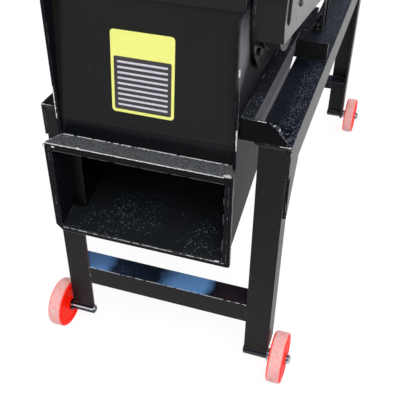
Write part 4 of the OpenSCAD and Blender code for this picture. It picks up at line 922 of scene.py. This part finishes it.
# -------- bare and rusty edges, and a painted highlight line
def wear():
    """Each row: metal, ends of the edge, normals of its two faces, width, share, run and step"""
    edges = [
        # outlet's rim and lid
        # painted highlight: a nearly unbroken pale strip on the rim's front top edge stands in for the
        # gloss on its rounded edge
        ("pale", (-158, RIM_Y, LID_Z), (103, RIM_Y, LID_Z), -Y, Z, 1.25, 0.99, 60),
        ("pale", (-147, -6, 410.6), (104, -6, 410.6), Y, Z, 2.6, 0.82, 2.4),
        ("pale", (-158, -36, 413.6), (-149, -8, 411), -X, Z, 0.8, 0.85, 5),
        ("pale", (-152, RIM_Y, 264.1), (108, RIM_Y, 264.1), -Y, Z, 1.0, 0.72, 3.0),
        ("grey", (-152, RIM_Y, 262.3), (108, RIM_Y, 262.3), -Y, -Z, 0.5, 0.9, 20),
        # left side plate, rail and leg
        ("pale", (LEFT, SIDE_Y, 436), (LEFT, SIDE_Y, 487), -Y, -X, 1.9, 1.0, 30, 1.4),
        ("pale", (-HALF, 0, RAIL), (-158, 0, RAIL), -Y, Z, 1.0, 0.9, 6),
        ("grey", (-179, 0, RAIL_FOOT), (-158, 0, RAIL_FOOT), -Y, -Z, 0.9, 0.85, 6),
        ("grey", (-HALF, 0, 402), (-HALF, 0, 449), -Y, -X, 0.7, 0.7, 8),
        # outlet's mouth and the front crossbar
        ("grey", (-150, RIM_Y, RIM_FOOT), (112, RIM_Y, RIM_FOOT), -Y, -Z, 0.5, 0.8, 9),
        ("grey", (-148, RIM_Y, MOUTH_Z), (104, RIM_Y, MOUTH_Z), -Y, -Z, 0.6, 0.85, 9),
        ("grey", (104, RIM_Y, 268), (104, RIM_Y, 402), -Y, -X, 0.6, 0.6, 8),
        ("grey", (116, RIM_Y, 262), (116, RIM_Y, 411), -Y, X, 0.5, 0.5, 8),
        ("pale", (-136, 0, CROSS_Z), (136, 0, CROSS_Z), -Y, Z, 0.6, 0.84, 1.8),
        # right side plate, deck beam, gusset and rail
        ("grey", (RIGHT, SIDE_Y, 418), (RIGHT, SIDE_Y, 588), -Y, X, 0.5, 0.75, 12),
        ("pale", (109.6, SIDE_Y, 543), (109.6, SIDE_Y, 553), -Y, X, 2.6, 1.0, 30, 0.7),
        ("pale", (109.6, SIDE_Y, 436), (109.6, SIDE_Y, 468), -Y, X, 2.0, 0.82, 7, 0.7),
        ("grey", (112, 0, DECK_Z), (150, 0, DECK_Z), -Y, Z, 0.6, 0.8, 6),
        ("pale", (133, 0, DECK_Z), (149, 0, DECK_Z), -Y, Z, 0.8, 0.8, 4),
        ("grey", (150, 0, DECK_Z), (174, 0, 458), -Y, X + Z, 0.6, 0.85, 5),
        ("pale", (168, 0, 464), (174, 0, 458), -Y, X + Z, 0.8, 0.9, 4),
        ("grey", (140, 0, RAIL_FOOT), (HALF, 0, RAIL_FOOT), -Y, -Z, 0.6, 0.7, 5),
        ("pale", (165, 0, RAIL), (HALF, 0, RAIL), -Y, Z, 1.2, 0.75, 3),
        ("pale", (HALF, 0, 436), (HALF, 0, 449), -Y, X, 1.0, 0.6, 3),
        ("rust", (158, 0, RAIL_FOOT), (180, 0, RAIL_FOOT), -Y, -Z, 1.1, 0.5, 3),
        # legs and their feet; the grey row keeps to the rail's face, 4 mm outside the right leg
        ("rust", (-LEG_IN, 0, 55), (-LEG_IN, 0, 262), -Y, X, 1.5, 0.8, 6),
        ("pale", (-LEG_IN, 0, 80), (-LEG_IN, 0, 250), -Y, X, 0.6, 0.3, 3),
        ("grey", (HALF, 0, 60), (HALF, 0, 440), -Y, X, 0.5, 0.35, 6),
    ]
    for x0, x1 in ((-180, -138), (138, 180)):
        edges += [("rust", (x0, 0, 51.5), (x1, 0, 51.5), -Y, -Z, 1.8, 0.85, 6),
                  ("rust", (x0, REAR, 50.5), (x1, REAR, 50.5), Y, -Z, 0.9, 0.7, 5),
                  ("pale", (x0, REAR, RAIL), (x1, REAR, RAIL), Y, Z, 0.7, 0.4, 4)]
    edges += [
        # rails, rear crossbar, trough and spring lugs
        ("grey", (HALF, 70, RAIL), (HALF, 830, RAIL), X, Z, 0.6, 0.28, 7),
        ("grey", (-HALF, 10, RAIL), (-HALF, 830, RAIL), -X, Z, 0.6, 0.28, 7),
        ("pale", (-136, REAR, CROSS_Z), (136, REAR, CROSS_Z), Y, Z, 0.7, 0.4, 4),
        ("grey", (TROUGH_LEFT, TROUGH_END, 606), (TROUGH_RIGHT, TROUGH_END, 606), Y, -Z, 0.6, 0.5, 6),
        ("pale", (-146, TROUGH_END, 608), (102, TROUGH_END, 608), Y, Z, 0.8, 0.5, 4),
        ("grey", (RIGHT, 238, LUG_Z), (RIGHT, 286, LUG_Z), X, Z, 0.6, 0.6, 5),
        ("grey", (LEFT, 238, LUG_Z), (LEFT, 286, LUG_Z), -X, Z, 0.6, 0.6, 5),
    ]
    bare = {"pale": bmesh.new(), "grey": bmesh.new(), "rust": bmesh.new()}
    for kind, p0, p1, *rule in edges:
        worn(bare[kind], at(*p0), at(*p1), *rule)
    piece("worn_and_highlight_edges_pale", bare["pale"], "bare_and_highlight_pale", smooth=80)
    piece("worn_edges_grey", bare["grey"], "bare_grey", smooth=80)
    piece("worn_edges_rust", bare["rust"], "rust", smooth=80)


def paint_chips():
    """Small flakes on the front plate, the right front leg (one lies beside it) and the rails' sides"""
    bm = bmesh.new()
    for _ in range(26):
        x, z = rnd.uniform(-128, 88), rnd.uniform(420, 628)
        y = PLATE_Y + (min(z, KNEE_Z) - PLATE_Z) * LEAN
        face = Vector((0, -1, LEAN if z < KNEE_Z else 0)).normalized()
        chip(bm, at(x, y, z), face, rnd.uniform(0.25, 0.7))
    for _ in range(30):
        chip(bm, at(rnd.uniform(139, 179), 0, rnd.uniform(90, 430)), -Y, rnd.uniform(0.2, 0.6))
        for side in (1, -1):
            p = at(side * HALF, rnd.uniform(10, 830), rnd.uniform(402, 448))
            chip(bm, p, X * side, rnd.uniform(0.3, 0.9))
    piece("paint_chips", bm, "bare_grey", smooth=80)


# -------- sheet-metal detail
def swages():
    """Pressed rings, beads and louvres of the covers, the trough and the hood"""
    bm = bmesh.new()
    m = basis(at(GEAR_X, FEED_Y, FEED_Z), -X)
    lathe(bm, m, [(103, -1), (101.5, 0.2), (99.5, 1.7), (96, 2.6), (92.5, 1.7), (90.5, 0.2), (89, -1)], 96)
    lathe(bm, m, [(40, -1), (38.5, 0.3), (36, 1.8), (30, 2.4), (0, 2.6)], 64)
    piece("gear_cover_swage", bm, "powder_black", smooth=40)

    bm = bmesh.new()
    pts = [about(GUARD_X, CUT_Y, CUT_Z, 78, math.radians(-12 + 4 * i)) for i in range(51)]
    swage(bm, pts, 3.2, 0.6, 12, 0.8, X)
    for i in range(5):
        y, z = 236 + 26 * i, 596 - 6.2 * i
        pts = [at(GUARD_X, y, z - 20 + 4 * j) for j in range(11)]
        sweep(bm, pts, [0.5, 3.4] + [4.6] * 7 + [3.4, 0.5], 12, 0.75, X)
    piece("belt_guard_swages", bm, "powder_black", smooth=40)

    bm = bmesh.new()
    for i in range(6):
        swage(bm, [at(-134 + 9.3 * j, 345 + 110 * i, 607.2) for j in range(25)], 3.6, 0.6, 12, 0.55, Z)
    for x, s in TROUGH_X:
        swage(bm, [at(x - s * 0.8, 300 + 20 * j, 655) for j in range(35)], 3.4, 0.6, 12, 0.6, X)
    piece("trough_swages", bm, "powder_black", smooth=40)

    bm = bmesh.new()
    a0, a1 = math.radians(46), math.radians(140)
    for x in (LEFT + 24, RIGHT - 24):
        pts = [about(x, CUT_Y, CUT_Z, HOOD_R, a0 + (a1 - a0) * i / 30) for i in range(31)]
        swage(bm, pts, 2.8, 0.5, 10, 0.7)
    piece("hood_swages", bm, "powder_black", "hood", smooth=40)


def motor_detail():
    """Feet under the motor's bolts, and the ribs and collar of its end shield"""
    bm = bmesh.new()
    for x in FOOT_X:
        for y in (MOTOR_Y - 67, MOTOR_Y + 67):
            pad(bm, basis(at(x, y, 452), Z, math.pi / 2), 13, 34, 7)
    face = at(MOTOR_FACE, MOTOR_Y, MOTOR_Z)
    for k in range(6):
        d = outward(math.radians(60 * k + 15))
        pts = [face + d * r / 1000 + mm(h, 0, 0)
               for r, h in ((62, 9.2), (52, 12.6), (42, 15.4), (34, 18.4), (27, 21))]
        sweep(bm, pts, [1.5, 2.2, 2.4, 2.4, 1.6], 8)
    lathe(bm, basis(face, X), [(25, 21.5), (25, 24), (23, 26), (13, 26), (12.4, 24)], 40)
    piece("motor_feet_and_ribs", bm, "cast_black", smooth=40)


def fittings():
    """Grease nipples, the terminal box's gland nut and ribs, and washers (hidden in the wheels' hubs)"""
    bm = bmesh.new()
    for x, s in ((LEFT - 15, -1), (RIGHT + 15, 1)):
        m = basis(at(x, CUT_Y, CUT_Z + 26), (s * 0.35, 0, 1))
        lathe(bm, m, [(0, -2), (3.2, -2), (3.2, 2.4), (2.0, 3.0), (1.6, 5.0), (2.3, 5.8), (2.3, 7.2),
                      (1.2, 8.4), (0, 8.6)], 16)
    piece("grease_nipples", bm, "zinc", smooth=35)

    bm = bmesh.new()
    profile = [(6.0, -1), (9.5, -1), (9.5, 0.2)]
    for i in range(4):
        profile += [(10.4, 0.6 + 1.6 * i), (10.4, 1.4 + 1.6 * i), (9.9, 1.7 + 1.6 * i)]
    profile += [(8.4, 8.4), (6.6, 9.4), (6.0, 9.4), (6.0, -1)]
    lathe(bm, basis(at(-33.5, 509, 510), -Z), profile, 28)
    for i in range(3):
        swage(bm, [at(-50 + 11 * j, 535.2, 546 + 8 * i) for j in range(7)], 1.4, 0.3, 8, 0.6, Y)
    piece("terminal_box_trim", bm, "black_plastic", smooth=40)

    bm = bmesh.new()
    for x in (-WHEEL_X, WHEEL_X):
        for y in (2, REAR - 2):
            for side in (-1, 1):
                m = basis(at(x + side * 11.0, y, AXLE_Z), X * side)
                lathe(bm, m, [(7.2, -0.4), (7.2, 1.3), (10.2, 1.3), (10.6, 0.9), (10.6, -0.4)], 32)
    piece("hub_washers", bm, "dark_steel", smooth=35)


def springs():
    """Compression springs with closed ends"""
    foot, head, wire, coil, turns, steps = 680.0, 735.0, 1.6, 10.0, 7, 28
    flat = 2.1 * wire
    free = head - foot - 2 * wire - 2 * flat
    for i, x in enumerate(SPRING_X):
        bm = bmesh.new()
        pts = []
        for j in range(turns * steps + 1):
            t = j / steps
            if t < 1:
                h = t * flat
            elif t < turns - 1:
                h = flat + (t - 1) * free / (turns - 2)
            else:
                h = head - foot - 2 * wire - (turns - t) * flat
            a = math.tau * t
            pts.append(at(x + coil * math.cos(a), FEED_Y + coil * math.sin(a), foot + wire + h))
        sweep(bm, pts, wire * 0.98, 10)
        o = piece("pressure_spring_" + "ab"[i], bm, "zinc", smooth=60,
                  replaces=("pressure_springs",))
        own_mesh(o)


def belt():
    """Cogged V-belt round both pulleys: chamfered back, notches across its inner face"""
    big, small, high, wide, stride, notch = 71.0, 31.0, 10.6, 16.6, 1.6, 2.2
    cut, mot = (CUT_Y, CUT_Z), (MOTOR_Y, MOTOR_Z)
    dy, dz = MOTOR_Y - CUT_Y, MOTOR_Z - CUT_Z
    th, b = math.atan2(dz, dy), math.asin((big - small) / math.hypot(dy, dz))
    quarter = math.pi / 2
    path = []

    def arc(c, r, a0, a1):
        n = int(abs(a1 - a0) * r / stride)
        for k in range(n + 1):
            a = a0 + (a1 - a0) * k / n
            path.append((c[0] + r * math.cos(a), c[1] + r * math.sin(a), math.cos(a), math.sin(a)))

    def line(r0, r1, c0, c1, a):
        p, q = ((c[0] + r * math.cos(a), c[1] + r * math.sin(a)) for c, r in ((c0, r0), (c1, r1)))
        n = int(math.dist(p, q) / stride)
        for k in range(1, n):
            y, z = (u + (v - u) * k / n for u, v in zip(p, q))
            path.append((y, z, math.cos(a), math.sin(a)))

    arc(cut, big, th + quarter - b, th + 3 * quarter + b)
    line(big, small, cut, mot, th - quarter + b)
    arc(mot, small, th - quarter + b, th + quarter - b)
    line(small, big, mot, cut, th + quarter - b)
    bm = bmesh.new()
    rings = []
    taper = math.tan(math.radians(18))
    for i, (y, z, ny, nz) in enumerate(path):
        deep = high - (notch if i % 6 in (0, 1) else 0.0)
        half, foot = wide / 2, wide / 2 - taper * deep
        section = [(-half + 0.8, 0), (half - 0.8, 0), (half, -0.9), (foot, -deep + 0.4),
                   (foot - 0.5, -deep), (-foot + 0.5, -deep), (-foot, -deep + 0.4), (-half, -0.9)]
        rings.append([bm.verts.new(at(BELT_X + u, y + v * ny, z + v * nz)) for u, v in section])
    for i in range(len(rings)):
        bridge(bm, rings[i - 1], rings[i])
    piece("v_belt", bm, "belt_rubber", replaces=("drive_belt",), smooth=30)


# -------- plain decal
def decal():
    """Generic bordered decal on the front plate: plain header, dark field, even pale stripes"""
    x, z, wide, high = -24.5, 517.1, 89.0, 113.8
    c, s = math.cos(LEAN_ANGLE), math.sin(LEAN_ANGLE)
    face = Matrix(((1, 0, 0), (0, s, -c), (0, c, s))).to_4x4()
    face.translation = at(x, PLATE_Y + (z - PLATE_Z) * LEAN, z)

    def sheet(bm, v, off, w, h, thick, cut, corner):
        pad(bm, face @ Matrix.Translation(mm(0, v, off)), w, h, thick, cut, corner)
        return bm
    border = sheet(bmesh.new(), 0, 0.02, wide, high, 0.22, 0.06, 5)
    piece("decal_border", border, "decal_yellow")
    field = sheet(bmesh.new(), -15.4, 0.2, wide - 8.2, 74.4, 0.12, 0.06, 2.4)
    piece("decal_field", field, "decal_dark")
    bm = bmesh.new()
    for i in range(9):
        sheet(bm, 14.6 - 7.5 * i, 0.31, 71, 2.9, 0.1, 0.04, 0.9)
    piece("decal_stripes", bm, "decal_pale")


for build in (replaced_bolts, small_screws, welds, wear, paint_chips, swages, motor_detail, fittings,
              springs, belt, decal, stage, camera):
    build()
bpy.context.scene.view_settings.view_transform = "Standard"
